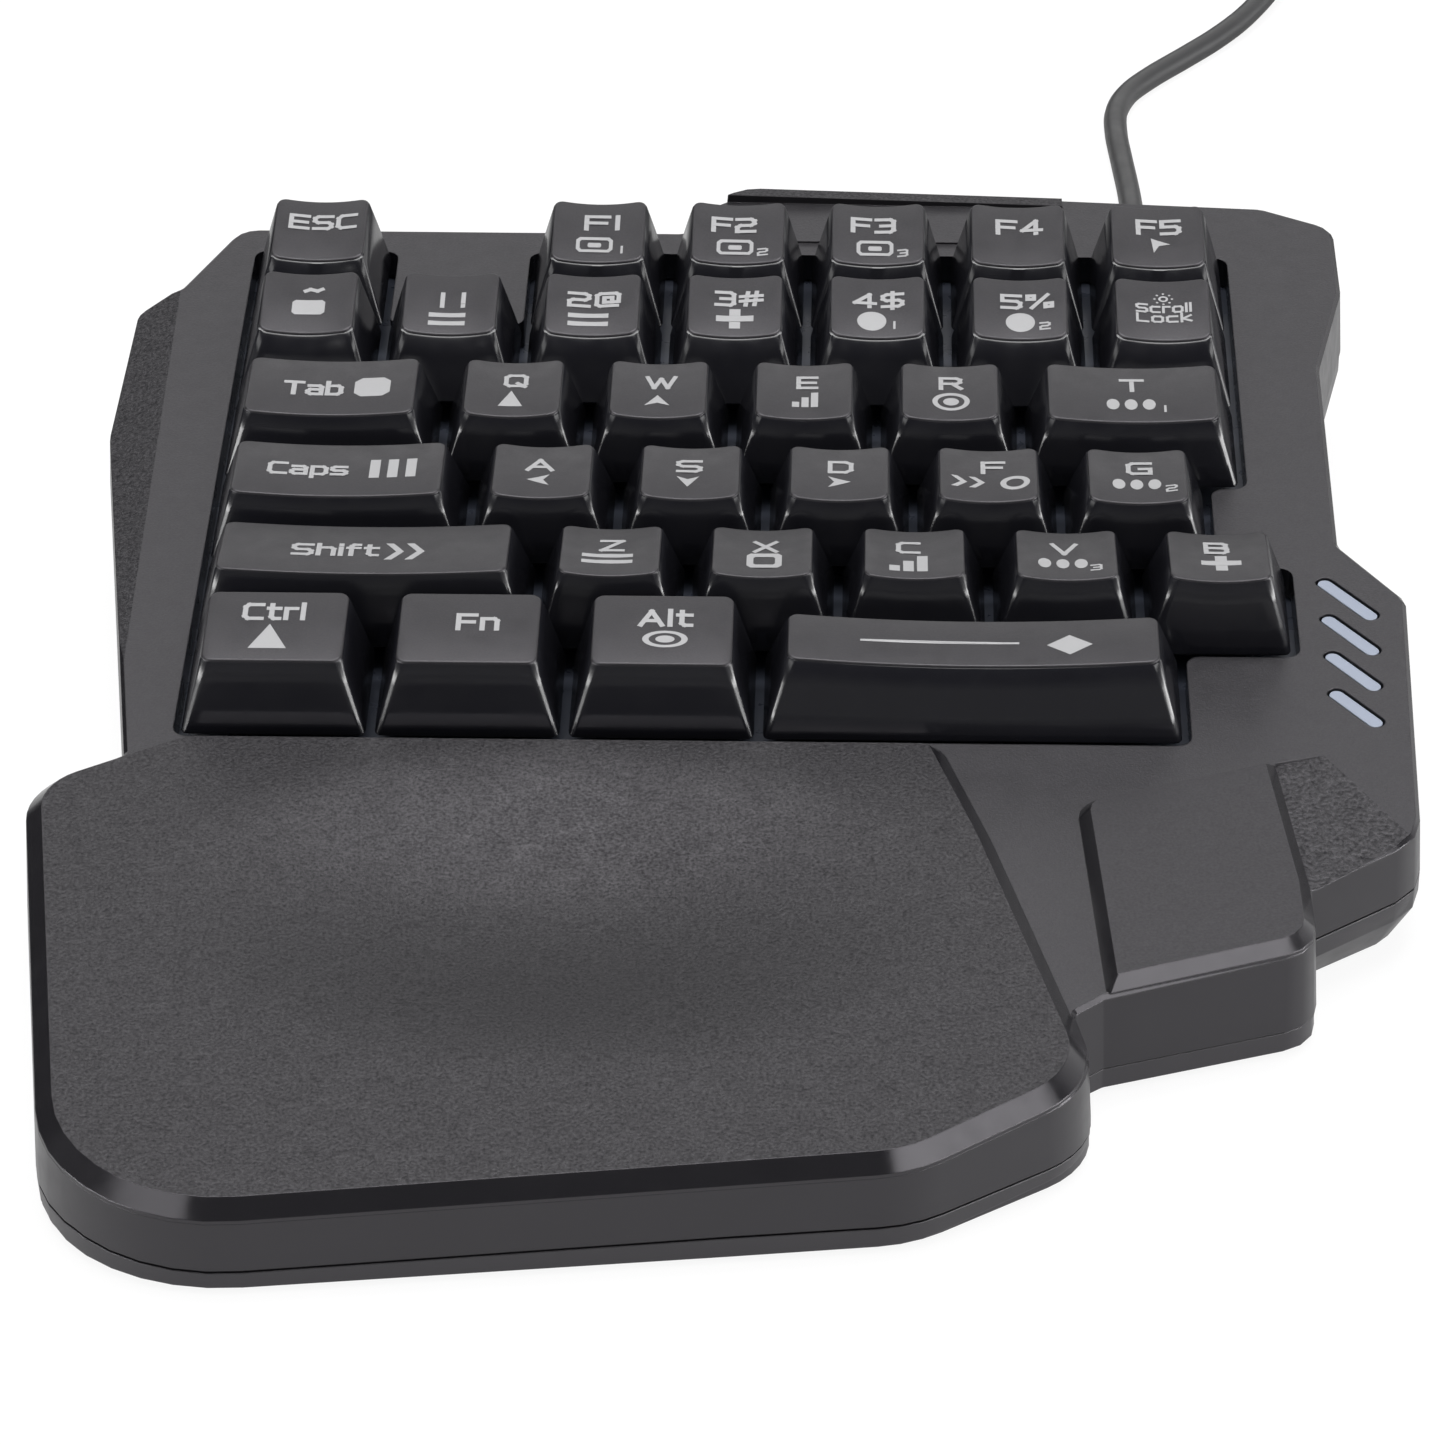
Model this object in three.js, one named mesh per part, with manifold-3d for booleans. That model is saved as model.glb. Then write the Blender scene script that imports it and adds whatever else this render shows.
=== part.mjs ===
// A one-handed gaming keypad: thirty-five sculpted keys over a rubber dome sheet, in a two-part
// case with a dished palm rest, a thumb pad, four light windows and a lead ending in a USB plug.
//
// Units are millimetres. The keypad is drawn on its deck, whose face is the plane z = 0, with x
// to the right and y to the back, both from the rear left corner of the key grid. The deck tips
// forward by the tilt of the case, so the finished keypad stands level on its feet with its
// origin on the desk, under the middle of the case.
import * as THREE from "three";
import { mergeVertices } from "three/addons/utils/BufferGeometryUtils.js";
import Module from "manifold-3d";

const wasm = await Module();
wasm.setup();

// Key grid
const KEY_PITCH = 19.05;
const GRID_ROWS = 6;
const GRID_COLUMNS_SHARE = 7.25;
const GRID_WIDTH = GRID_COLUMNS_SHARE * KEY_PITCH;
const GRID_DEPTH = GRID_ROWS * KEY_PITCH;

// Case around the grid
const LEFT_BORDER = 16;
const RIGHT_BORDER = 14.6;
const REAR_BORDER = 17.2;
const PALM_LENGTH = 91.4;
const CASE_TILT = THREE.MathUtils.degToRad(5.3);
const WALL = 2;
const DECK_THICKNESS = 2.2;
const EDGE_BREAK = 0.5;
const WALL_DRAFT_SHARE = 0.062;
const CORNER_RADIUS = 4;
const WIDE_RADIUS = 8;
const WIDE_ARC_STEP = THREE.MathUtils.degToRad(10);
const SMALL_ARC_STEP = THREE.MathUtils.degToRad(24);
const LEAST_RADIUS_SHARE = 0.2;
const CASE_DEPTH = 32;
const PART_GAP = 0.3;
const OVERRUN = 1;
const SPAN = 500;

// Desk and seams: how far the desk lies under the grid corner, and the two parting heights
const DESK_DROP = 29.22;
const FOOT_STAND = 1;
const REAR_SEAM_DROP = 9.72;
const REAR_SEAM_SLOPE_SHARE = 0.0138;
const FRONT_SEAM_RISE = 2.9;
const BASE_INSET = 0.3;
const BASE_BAND = 2.9;
const BASE_CHAMFER_DROP = 5.6;
const BASE_CHAMFER_RUN = 3;

// Raised areas, facets and the name strip
const PALM_RISE = 1.9;
const PALM_BEVEL = 2;
const DISH_DEPTH = 2.3;
const DISH_RIM_LIFT = 0.06;
const DISH_RINGS = 5;
const DISH_SIDES = 28;
const THUMB_RISE = 1.5;
const THUMB_BEVEL = 1.45;
const FLANK_DROP = 2.75;
const THUMB_FACET_DROP = 0.8;
const NAME_RIM_RISE = 0.9;
const NAME_RIM_END_RISE = 0.15;
const NAME_RIM_WIDTH = 2;
const NAME_PANEL_DROP = 0.35;
const NAME_LEDGE_DROP = 0.35;

// Key well
const WELL_MARGIN = 0.4;
const WELL_RIGHT_MARGIN = 0.6;
const WELL_RADIUS = 1.8;
const WELL_RIM = 1.8;

// Keycaps
const KEY_HEIGHT = 9;
const KEY_TRAVEL = 3.5;
const KEY_CLEARANCE = 0.4;
const SKIRT_DROP = 0.4;
const SKIRT_INSET = 0.5;
const SKIRT_RADIUS = 0.9;
const TOP_INSET = 3.25;
const SPACE_TOP_INSET = 3.45;
const TOP_RADIUS = 1.3;
const TOP_DISH = 0.7;
const SPACE_TOP_DISH = 1;
const KEY_WALL = 1.3;
const KEY_ROOF = 1.5;
const STEM_WIDTH = 4.4;
const GUIDE_POST_WIDTH = 2.6;
const GUIDE_POST_SETBACK = 8;
const LONG_KEY_SHARE = 2;
const CORNER_STEPS = 2;
const EDGE_POINTS = 3;

// Key plate, dome sheet, membrane and backing plate
const PLATE_DROP = SKIRT_DROP + KEY_TRAVEL + KEY_CLEARANCE;
const PLATE_THICKNESS = 1.6;
const PLATE_LAP = 2.4;
const PLATE_SKIRT = 1.6;
const CHIMNEY_WALL = 1.2;
const STEM_CLEARANCE = 0.35;
const CHIMNEY_RISE = 0.8;
const DOME_HEIGHT = KEY_TRAVEL + KEY_CLEARANCE;
const DOME_BASE_RADIUS = 4.6;
const DOME_TOP_RADIUS = 2.6;
const DOME_WALL = 0.8;
const DOME_SIDES = 8;
const SHEET_THICKNESS = 0.6;
const SHEET_SETBACK = 0.6;
const MEMBRANE_THICKNESS = 0.5;
const MEMBRANE_TAIL_WIDTH = 14;
const BACKING_THICKNESS = 1;
const PLATE_FOOT = -PLATE_DROP - PLATE_THICKNESS;
const DOME_TOP = PLATE_FOOT - 2 * PART_GAP;
const SHEET_TOP = DOME_TOP - DOME_HEIGHT;
const MEMBRANE_TOP = SHEET_TOP - SHEET_THICKNESS - PART_GAP;
const BACKING_TOP = MEMBRANE_TOP - MEMBRANE_THICKNESS - PART_GAP;

// Light windows
const SLOT_COUNT = 4;
const SLOT_PITCH = 8.1;
const SLOT_LENGTH = 11.2;
const SLOT_SHORTENING = 0.5;
const SLOT_WIDTH = 2.5;
const SLOT_ARC_STEPS = 4;
const SLOT_ANGLE = THREE.MathUtils.degToRad(-53);
const LENS_DROP = 0.15;
const GUIDE_THICKNESS = 1.6;
const GUIDE_WIDTH = 8.5;
const LIGHT_BOARD_THICKNESS = 1;
const LAMP_SIZE = 2;
const LAMP_HEIGHT = 0.8;

// Controller board
const BOARD_WIDTH = 58;
const BOARD_DEPTH = 24;
const BOARD_THICKNESS = 1.6;
const BOARD_DROP = 6.4;
const CHIP_SIZE = 8;
const CHIP_HEIGHT = 1.1;
const HEADER_WIDTH = 12;
const HEADER_DEPTH = 5;
const HEADER_HEIGHT = 2.6;
const BOARD_POST = 4;

// Ribs of the bottom case
const RIB_THICKNESS = 1.6;

// Screws
const SCREW_RADIUS = 1.25;
const SCREW_HEAD_RADIUS = 2.4;
const SCREW_HEAD_HEIGHT = 1.5;
const SCREW_GRIP = 4.4;
const SCREW_SIDES = 12;
const POST_RADIUS = 3.9;
const POST_WEB = 2;
const POST_SEAM_DROP = 1;

// Feet
const FOOT_LENGTH = 16;
const FOOT_WIDTH = 8;
const FOOT_THICKNESS = 1.8;
const FOOT_RADIUS = 2.5;

// Strain relief
const RELIEF_HEIGHT = 8;
const RELIEF_LENGTH = 14;
const RELIEF_NECK_RADIUS = 2.9;
const RELIEF_FLANGE_RADIUS = 4.6;
const RELIEF_FLANGE = 1.6;
const RELIEF_ROOT_RADIUS = 3.9;
const RELIEF_TIP_RADIUS = 2.5;
const RELIEF_SIDES = 16;

// Lead and coil
const CORD_DIAMETER = 3.6;
const CORD_RADIUS = CORD_DIAMETER / 2;
const CORD_SIDES = 8;
const CORD_STEPS = 26;
const COIL_TURNS = 9.25;
const COIL_MIDDLE_RADIUS = 21.6;
const COIL_PITCH = 4.15;
const COIL_LIFT = 1;
const COIL_SIDES = 6;
const COIL_STEPS = 24;
const COIL_LEAD = 30;
const LEAD_POINTS = 6;
const SINK_START_SHARE = 0.45;
const CLIMB_TURNS_SHARE = 0.5;
const TIE_THICKNESS = 0.7;
const TIE_WIDTH = 6;
const TIE_CURVE_ROOM = 0.6;

// USB plug
const PLUG_LENGTH = 30;
const PLUG_WIDTH = 15.6;
const PLUG_THICKNESS = 8;
const PLUG_RADIUS = 2.4;
const PLUG_REAR_INSET = 1.6;
const PLUG_TAPER_LENGTH = 7;
const SHELL_WIDTH = 12;
const SHELL_THICKNESS = 4.5;
const SHELL_LENGTH = 12;
const SHELL_SEAT = 3;
const SHELL_WALL = 0.35;
const TONGUE_THICKNESS = 1.5;

// Finish of each kind of piece
const FINISHES = {
  shell: { color: 0x5f5d61, roughness: 0.55, metalness: 0 },
  base: { color: 0x464448, roughness: 0.6, metalness: 0 },
  keycap: { color: 0x2c2b2f, roughness: 0.5, metalness: 0 },
  plate: { color: 0x35383f, roughness: 0.5, metalness: 0 },
  domes: { color: 0xc9cdd2, roughness: 0.8, metalness: 0 },
  film: { color: 0xb9c2c9, roughness: 0.35, metalness: 0 },
  steel: { color: 0x9a9da1, roughness: 0.35, metalness: 1 },
  board: { color: 0x1f5a3a, roughness: 0.6, metalness: 0 },
  lens: { color: 0xaeb5c5, roughness: 0.3, metalness: 0 },
  rubber: { color: 0x1b1b1d, roughness: 0.85, metalness: 0 },
  cord: { color: 0x303033, roughness: 0.7, metalness: 0 },
};

// Places across the case as shares: of the left border below zero, of the key grid up to one,
// and of the right border beyond it. Places along it count the same way from the rear edge of
// the grid: the rear border above zero, the grid down to minus one, the palm rest beyond.
function across(share) {
  if (share < 0) return share * LEFT_BORDER;
  if (share <= 1) return share * GRID_WIDTH;
  return GRID_WIDTH + (share - 1) * RIGHT_BORDER;
}

function along(share) {
  if (share > 0) return share * REAR_BORDER;
  if (share >= -1) return share * GRID_DEPTH;
  return -GRID_DEPTH + (share + 1) * PALM_LENGTH;
}

// Corners of an outline, anticlockwise from above: across, along, and the radius as a share of
// the corner radius.
const palmFrontShares = [
  [-0.339, -2.028, 5.5],
  [0.653, -1.893, 3.75],
  [0.8075, -1.72, 3],
];
const palmRearLeftShares = [-1.0625, -1.132, 2.3];
const thumbFrontRightShares = [0.995, -1.442, 1.4];
const thumbSideShares = [0.9925, -1.314, 0.2];
const stepShares = [-0.369, -1.045, 0.2];
const rearRightShares = [1.09, 0.826, 0.75];
const nameEndShares = [0.808, 0.936, 0.25];

const caseShares = [
  ...palmFrontShares,
  [0.787, -1.578, 0.25],
  [0.812, -1.546, 0.25],
  thumbFrontRightShares,
  thumbSideShares,
  [1.88, -1.201, 2],
  [2, -0.721, 0.75],
  [1.461, -0.614, 0.5],
  [1.475, -0.241, 1.5],
  [1.755, -0.069, 1],
  [1.751, 0.523, 1],
  rearRightShares,
  nameEndShares,
  [0.487, 1, 1.6],
  [0.442, 0.721, 0.75],
  [0.426, 0.364, 0.25],
  [-0.19, 0.37, 1],
  [-0.6125, -0.084, 0.25],
  [-0.956, -0.116, 0.5],
  [-0.994, -0.381, 2.5],
  [-0.494, -0.904, 1.5],
  stepShares,
  palmRearLeftShares,
];

const palmShares = [
  ...palmFrontShares,
  [0.722, -1.223, 15],
  [0.678, -1.011, 0.75],
  [0.009, -1.011, 1.5],
  palmRearLeftShares,
];

const thumbShares = [
  [0.8145, -1.5405, 0.12],
  thumbFrontRightShares,
  thumbSideShares,
  [0.972, -1.043, 0.12],
  [0.796, -1.139, 1],
];

// Key well in key pitches, with the sides on which it stands back from the keys: -1 or 1 across
// and along. The tongue of the deck between the first two rear keys reaches into it.
const wellShares = [
  [0, -6, -1, -1],
  [6.5, -6, 1, -1],
  [6.5, -5, 1, -1],
  [7.25, -5, 1, -1],
  [7.25, -4, 1, 1],
  [6.75, -4, 1, 1],
  [6.75, -3, 1, -1],
  [7, -3, 1, -1],
  [7, 0, 1, 1],
  [2, 0, -1, 1],
  [2, -1, -1, 1],
  [1, -1, 1, 1],
  [1, 0, 1, 1],
  [0, 0, -1, 1],
];

// The stack under the keys in key pitches.
const stackShares = [
  [0, -6],
  [6.5, -6],
  [6.5, -5],
  [7.25, -5],
  [7.25, -4],
  [7, -4],
  [7, 0],
  [0, 0],
];

// Keys: name, row, left edge and width in key pitches.
const keyShares = [
  ["esc", 0, 0, 1],
  ["f1", 0, 2, 1],
  ["f2", 0, 3, 1],
  ["f3", 0, 4, 1],
  ["f4", 0, 5, 1],
  ["f5", 0, 6, 1],
  ["tilde", 1, 0, 1],
  ["1", 1, 1, 1],
  ["2", 1, 2, 1],
  ["3", 1, 3, 1],
  ["4", 1, 4, 1],
  ["5", 1, 5, 1],
  ["scroll_lock", 1, 6, 1],
  ["tab", 2, 0, 1.5],
  ["q", 2, 1.5, 1],
  ["w", 2, 2.5, 1],
  ["e", 2, 3.5, 1],
  ["r", 2, 4.5, 1],
  ["t", 2, 5.5, 1.5],
  ["caps_lock", 3, 0, 1.75],
  ["a", 3, 1.75, 1],
  ["s", 3, 2.75, 1],
  ["d", 3, 3.75, 1],
  ["f", 3, 4.75, 1],
  ["g", 3, 5.75, 1],
  ["shift", 4, 0, 2.25],
  ["z", 4, 2.25, 1],
  ["x", 4, 3.25, 1],
  ["c", 4, 4.25, 1],
  ["v", 4, 5.25, 1],
  ["b", 4, 6.25, 1],
  ["ctrl", 5, 0, 1.25],
  ["fn", 5, 1.25, 1.25],
  ["alt", 5, 2.5, 1.25],
  ["space", 5, 3.75, 2.75],
];

// Sculpt of each row: the rear top edge and the front top edge, each as its place along the key
// as a share of the pitch and its height as a share of the key height.
const rowProfileShares = [
  { rear: [0.032, 1.03], front: [0.745, 0.889] },
  { rear: [0.068, 1.067], front: [0.724, 0.878] },
  { rear: [0.121, 0.933], front: [0.845, 0.967] },
  { rear: [0.157, 0.889], front: [0.856, 0.978] },
  { rear: [0.136, 0.867], front: [0.85, 1.089] },
  { rear: [0.126, 1.1], front: [0.85, 1.011] },
];
const spaceProfileShares = { rear: [0.255, 1.02], front: [0.775, 1.03] };
const FLAT_KEYS = ["ctrl", "fn", "alt"];

// Solids that can be joined and cut

function solidOf(positions, indices) {
  return new wasm.Manifold(
    new wasm.Mesh({
      numProp: 3,
      vertProperties: new Float32Array(positions),
      triVerts: new Uint32Array(indices),
    }),
  );
}

function solid(geometry) {
  const bare = geometry.clone();
  bare.deleteAttribute("normal");
  bare.deleteAttribute("uv");
  const merged = mergeVertices(bare);
  return solidOf(merged.attributes.position.array, merged.index.array);
}

function geometryOf(made) {
  const mesh = made.getMesh();
  const geometry = new THREE.BufferGeometry();
  geometry.setAttribute("position", new THREE.BufferAttribute(mesh.vertProperties, 3));
  geometry.setIndex(new THREE.BufferAttribute(mesh.triVerts, 1));
  geometry.computeVertexNormals();
  return geometry;
}

function joined(solids) {
  return solids.reduce((whole, piece) => whole.add(piece));
}

function flatFaces(ring) {
  return THREE.ShapeUtils.triangulateShape(
    ring.map((point) => new THREE.Vector2(point.x, point.y)),
    [],
  );
}

// A solid through rings of equally many points, the lowest first, each anticlockwise from above.
function loft(rings, topFaces = flatFaces(rings.at(-1))) {
  const count = rings[0].length;
  const indices = flatFaces(rings[0]).flatMap(([a, b, c]) => [c, b, a]);
  for (let level = 1; level < rings.length; level++) {
    const low = (level - 1) * count;
    const high = level * count;
    for (let i = 0; i < count; i++) {
      const j = (i + 1) % count;
      indices.push(low + i, low + j, high + j, low + i, high + j, high + i);
    }
  }
  const top = (rings.length - 1) * count;
  topFaces.forEach((face) => indices.push(...face.map((i) => top + i)));
  const positions = rings.flat().flatMap((point) => [point.x, point.y, point.z]);
  return solidOf(positions, indices);
}

function ringAt(points, height) {
  return points.map((point) => new THREE.Vector3(point.x, point.y, height));
}

function prism(points, low, high) {
  const shape = new THREE.Shape(points.map((point) => new THREE.Vector2(point.x, point.y)));
  const options = { depth: high - low, bevelEnabled: false };
  return solid(new THREE.ExtrudeGeometry(shape, options).translate(0, 0, low));
}

function block(low, high) {
  const size = high.clone().sub(low);
  const middle = low.clone().add(high).divideScalar(2);
  const geometry = new THREE.BoxGeometry(size.x, size.y, size.z);
  return solid(geometry.translate(middle.x, middle.y, middle.z));
}

function rod(radius, low, high, x, y, sides) {
  const geometry = new THREE.CylinderGeometry(radius, radius, high - low, sides);
  return solid(geometry.rotateX(Math.PI / 2).translate(x, y, (low + high) / 2));
}

// Everything on the side of a plane to which its normal points.
function halfSpace(point, normal) {
  const turn = new THREE.Quaternion().setFromUnitVectors(
    new THREE.Vector3(0, 0, 1),
    normal.clone().normalize(),
  );
  const geometry = new THREE.BoxGeometry(SPAN, SPAN, SPAN).translate(0, 0, SPAN / 2);
  return solid(geometry.applyQuaternion(turn).translate(point.x, point.y, point.z));
}

// Outlines

function cornersFrom(shares) {
  return shares.map(([x, y, radius]) => ({
    x: across(x),
    y: along(y),
    r: radius * CORNER_RADIUS,
  }));
}

// An outline moved inwards by an inset, or outwards by a negative one, with its corners rounded.
// A corner has the same number of points at every inset, so two insets can be lofted.
function rounded(corners, inset = 0) {
  return corners.flatMap((corner, i) => {
    const here = new THREE.Vector2(corner.x, corner.y);
    const before = corners.at(i - 1);
    const after = corners[(i + 1) % corners.length];
    const arriving = here.clone().sub(before).normalize();
    const leaving = new THREE.Vector2(after.x, after.y).sub(here).normalize();
    const turn = Math.atan2(arriving.cross(leaving), arriving.dot(leaving));
    const inward = new THREE.Vector2(-arriving.y, arriving.x);
    const inwardNext = new THREE.Vector2(-leaving.y, leaving.x);
    const shift = inward.clone().add(inwardNext);
    here.addScaledVector(shift, inset / (1 + inward.dot(inwardNext)));
    if (corner.r === 0) return [here];
    const side = Math.sign(turn);
    const radius = Math.max(corner.r - side * inset, corner.r * LEAST_RADIUS_SHARE);
    const start = here.clone().addScaledVector(arriving, -radius * Math.tan(Math.abs(turn) / 2));
    const centre = start.clone().addScaledVector(inward, side * radius);
    const step = corner.r > WIDE_RADIUS ? WIDE_ARC_STEP : SMALL_ARC_STEP;
    const steps = Math.max(1, Math.round(Math.abs(turn) / step));
    return Array.from({ length: steps + 1 }, (_, k) =>
      start.clone().rotateAround(centre, (turn * k) / steps),
    );
  });
}

const caseCorners = cornersFrom(caseShares);

// Wells and stacks share one grid, so what lies under the keys follows the pitch.
function gridCorners(shares, radius) {
  return shares.map(([x, y, sideX = 0, sideY = 0]) => {
    const margin = sideX > 0 && x > GRID_ROWS ? WELL_RIGHT_MARGIN : WELL_MARGIN;
    return { x: x * KEY_PITCH + sideX * margin, y: y * KEY_PITCH + sideY * WELL_MARGIN, r: radius };
  });
}

const wellCorners = gridCorners(wellShares, WELL_RADIUS);
const stackCorners = gridCorners(stackShares, 0);

// Planes: the desk is level, the deck is tipped, and the rear seam runs between the two
const levelNormal = new THREE.Vector3(0, Math.sin(CASE_TILT), Math.cos(CASE_TILT));
const rearSeamNormal = new THREE.Vector3(0, REAR_SEAM_SLOPE_SHARE, 1);

function levelPlane(rise) {
  return levelNormal.clone().multiplyScalar(rise - DESK_DROP);
}

function levelHeight(rise, y) {
  return (rise - DESK_DROP) / Math.cos(CASE_TILT) - y * Math.tan(CASE_TILT);
}

function rearSeamHeight(y) {
  return -REAR_SEAM_DROP - REAR_SEAM_SLOPE_SHARE * y;
}

function frontSeamHeight(y) {
  return levelHeight(FOOT_STAND + FRONT_SEAM_RISE, y);
}

// The palm rest and the thumb pad part from the rest of the case along a line in plan.
const stepCorner = new THREE.Vector2(across(stepShares[0]), along(stepShares[1]));
const thumbCorner = new THREE.Vector2(across(thumbSideShares[0]), along(thumbSideShares[1]));

function frontPlan(forward) {
  const direction = thumbCorner.clone().sub(stepCorner).normalize();
  const left = stepCorner.clone().addScaledVector(direction, -SPAN / 2);
  const right = thumbCorner.clone().addScaledVector(direction, SPAN / 2);
  const plan = [
    { x: left.x, y: left.y - SPAN },
    { x: right.x, y: right.y - SPAN },
    { x: right.x, y: right.y - forward },
    { x: left.x, y: left.y - forward },
  ];
  return prism(plan, -SPAN / 2, SPAN / 2);
}

// The space above both seams, lowered by a gap.
function aboveSeam(gap) {
  const rear = halfSpace(new THREE.Vector3(0, 0, -REAR_SEAM_DROP - gap), rearSeamNormal);
  const front = halfSpace(levelPlane(FOOT_STAND + FRONT_SEAM_RISE - gap), levelNormal);
  return rear.add(front.intersect(frontPlan(-gap)));
}

// Case walls widen downwards by their draft.
function caseRing(inset, height) {
  return ringAt(rounded(caseCorners, inset + height * WALL_DRAFT_SHARE), height);
}

function caseBody(inset, top) {
  return loft([caseRing(inset, -CASE_DEPTH), caseRing(inset, top)]);
}

// Top case

function plateau(shares, rise, bevel) {
  const corners = cornersFrom(shares);
  return loft([
    ringAt(rounded(corners), -OVERRUN),
    ringAt(rounded(corners), 0),
    ringAt(rounded(corners, bevel), rise),
  ]);
}

// The left flank slopes down outwards from a crease along the deck.
const flankShares = {
  creaseRear: [-0.613, -0.09],
  creaseFront: [-0.494, -0.904],
  edge: [-0.994, -0.381],
  end: [-0.494, -0.98],
};

function planThrough([x, y], height) {
  return new THREE.Vector3(across(x), along(y), height);
}

function planeNormal(a, b, c) {
  const normal = b.clone().sub(a).cross(c.clone().sub(a));
  return normal.z < 0 ? normal.negate() : normal;
}

function leftFlank(drop) {
  const rear = planThrough(flankShares.creaseRear, -drop);
  const front = planThrough(flankShares.creaseFront, -drop);
  const edge = planThrough(flankShares.edge, -drop - FLANK_DROP);
  const end = planThrough(flankShares.end, 0);
  const behindPalm = halfSpace(end, new THREE.Vector3(0, 1, 0));
  return halfSpace(rear, planeNormal(rear, front, edge)).intersect(behindPalm);
}

// A shallow facet falls from a crease near the right edge towards the thumb pad.
const thumbFacetShares = {
  creaseRear: [1.153, -1.023],
  creaseFront: [1.88, -1.222],
  low: [0.991, -1.314],
  rearLeft: [0.972, -1.043],
};

function thumbFacet() {
  const rear = planThrough(thumbFacetShares.creaseRear, 0);
  const front = planThrough(thumbFacetShares.creaseFront, 0);
  const low = planThrough(thumbFacetShares.low, -THUMB_FACET_DROP);
  const rearLeft = planThrough(thumbFacetShares.rearLeft, 0);
  const plan = [low, front, rear, rearLeft];
  return halfSpace(rear, planeNormal(rear, front, low)).intersect(
    prism(plan, -OVERRUN - THUMB_FACET_DROP, OVERRUN),
  );
}

// The palm dish is a cosine bowl, so it meets the rest without an edge.
const dishCentreShares = [0.348, -1.385];
const dishReachShares = [0.375, 0.35];

function palmDish() {
  const profile = Array.from({ length: DISH_RINGS + 1 }, (_, i) => {
    const out = i / DISH_RINGS;
    const depth = (DISH_DEPTH * (1 + Math.cos(Math.PI * out))) / 2;
    return new THREE.Vector2(out, DISH_RIM_LIFT - depth);
  });
  profile.push(new THREE.Vector2(1, OVERRUN), new THREE.Vector2(0, OVERRUN));
  const bowl = new THREE.LatheGeometry(profile, DISH_SIDES).rotateX(Math.PI / 2);
  bowl.scale(dishReachShares[0] * GRID_WIDTH, dishReachShares[1] * PALM_LENGTH, 1);
  const [x, y] = dishCentreShares;
  return solid(bowl.translate(across(x), along(y), PALM_RISE));
}

// The name strip is bare: a rim behind a sunken panel that ends in two fine ledges.
const nameShares = {
  left: 0.455,
  right: nameEndShares[0],
  leftRear: 1,
  rightRear: nameEndShares[1],
  panelFront: 0.275,
  ledgeFront: 0.04,
};

function namePlan(rearDrop, front) {
  const left = across(nameShares.left);
  const right = across(nameShares.right);
  return [
    { x: left, y: front },
    { x: right, y: front },
    { x: right, y: along(nameShares.rightRear) - rearDrop },
    { x: left, y: along(nameShares.leftRear) - rearDrop },
  ];
}

// The rim falls away to the right.
function nameRim() {
  const start = new THREE.Vector3(across(nameShares.left), 0, NAME_RIM_RISE);
  const end = new THREE.Vector3(across(nameShares.right), 0, NAME_RIM_END_RISE);
  const slope = end.clone().sub(start);
  const under = halfSpace(end, new THREE.Vector3(slope.z, 0, -slope.x));
  const plan = namePlan(0, along(nameShares.panelFront));
  const keep = prism(plan, -OVERRUN, NAME_RIM_RISE);
  const strip = keep.subtract(prism(namePlan(NAME_RIM_WIDTH, 0), 0, NAME_RIM_RISE + OVERRUN));
  return strip.intersect(caseBody(0, NAME_RIM_RISE)).intersect(under);
}

function namePanel() {
  const panel = namePlan(NAME_RIM_WIDTH, along(nameShares.panelFront));
  const ledge = namePlan(NAME_RIM_WIDTH, along(nameShares.ledgeFront));
  const front = along(nameShares.panelFront);
  const sunken = prism(panel, -NAME_PANEL_DROP, OVERRUN);
  const lower = ledge.map(({ x, y }) => ({ x, y: Math.min(y, front) }));
  return sunken.add(prism(lower, -NAME_PANEL_DROP - NAME_LEDGE_DROP, OVERRUN));
}

// Slots of the light windows, each one stadium shaped.
const slotStartShares = { x: 1.265, y: -0.6835 };

function slotPlan(index, inset) {
  const length = SLOT_LENGTH - index * SLOT_SHORTENING;
  const radius = SLOT_WIDTH / 2 - inset;
  const start = new THREE.Vector2(
    across(slotStartShares.x),
    along(slotStartShares.y) - index * SLOT_PITCH,
  );
  const shape = new THREE.Shape();
  shape.absarc(length - SLOT_WIDTH / 2, 0, radius, -Math.PI / 2, Math.PI / 2);
  shape.absarc(SLOT_WIDTH / 2, 0, radius, Math.PI / 2, (3 * Math.PI) / 2);
  const points = shape.getPoints(SLOT_ARC_STEPS).slice(0, -1);
  return points.map((point) => point.rotateAround(new THREE.Vector2(), SLOT_ANGLE).add(start));
}

function eachSlot(inset, low, high) {
  const slots = Array.from({ length: SLOT_COUNT }, (_, i) =>
    prism(slotPlan(i, inset), low, high),
  );
  return joined(slots);
}

// Screws hold the two shells together. Their posts meet at the seam, or higher where the case
// is too thin for a screw head below it, and the slope of the left flank trims them.
const screwShares = {
  screw_rear_right: [1.2, 0.3],
  screw_left: [-0.56, -0.4],
  screw_palm: [0.36, -1.76],
  screw_thumb: [0.885, -1.29],
};

function screwPlace(name) {
  const [x, y] = screwShares[name];
  const place = { x: across(x), y: along(y) };
  const seam = y < -1 ? frontSeamHeight(place.y) : rearSeamHeight(place.y);
  const least = levelHeight(FOOT_STAND, place.y) + SCREW_HEAD_HEIGHT + POST_WEB + OVERRUN;
  place.seat = Math.max(seam - POST_SEAM_DROP, least);
  return place;
}

const screwPlaces = Object.keys(screwShares).map((name) => ({ name, ...screwPlace(name) }));

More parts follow.
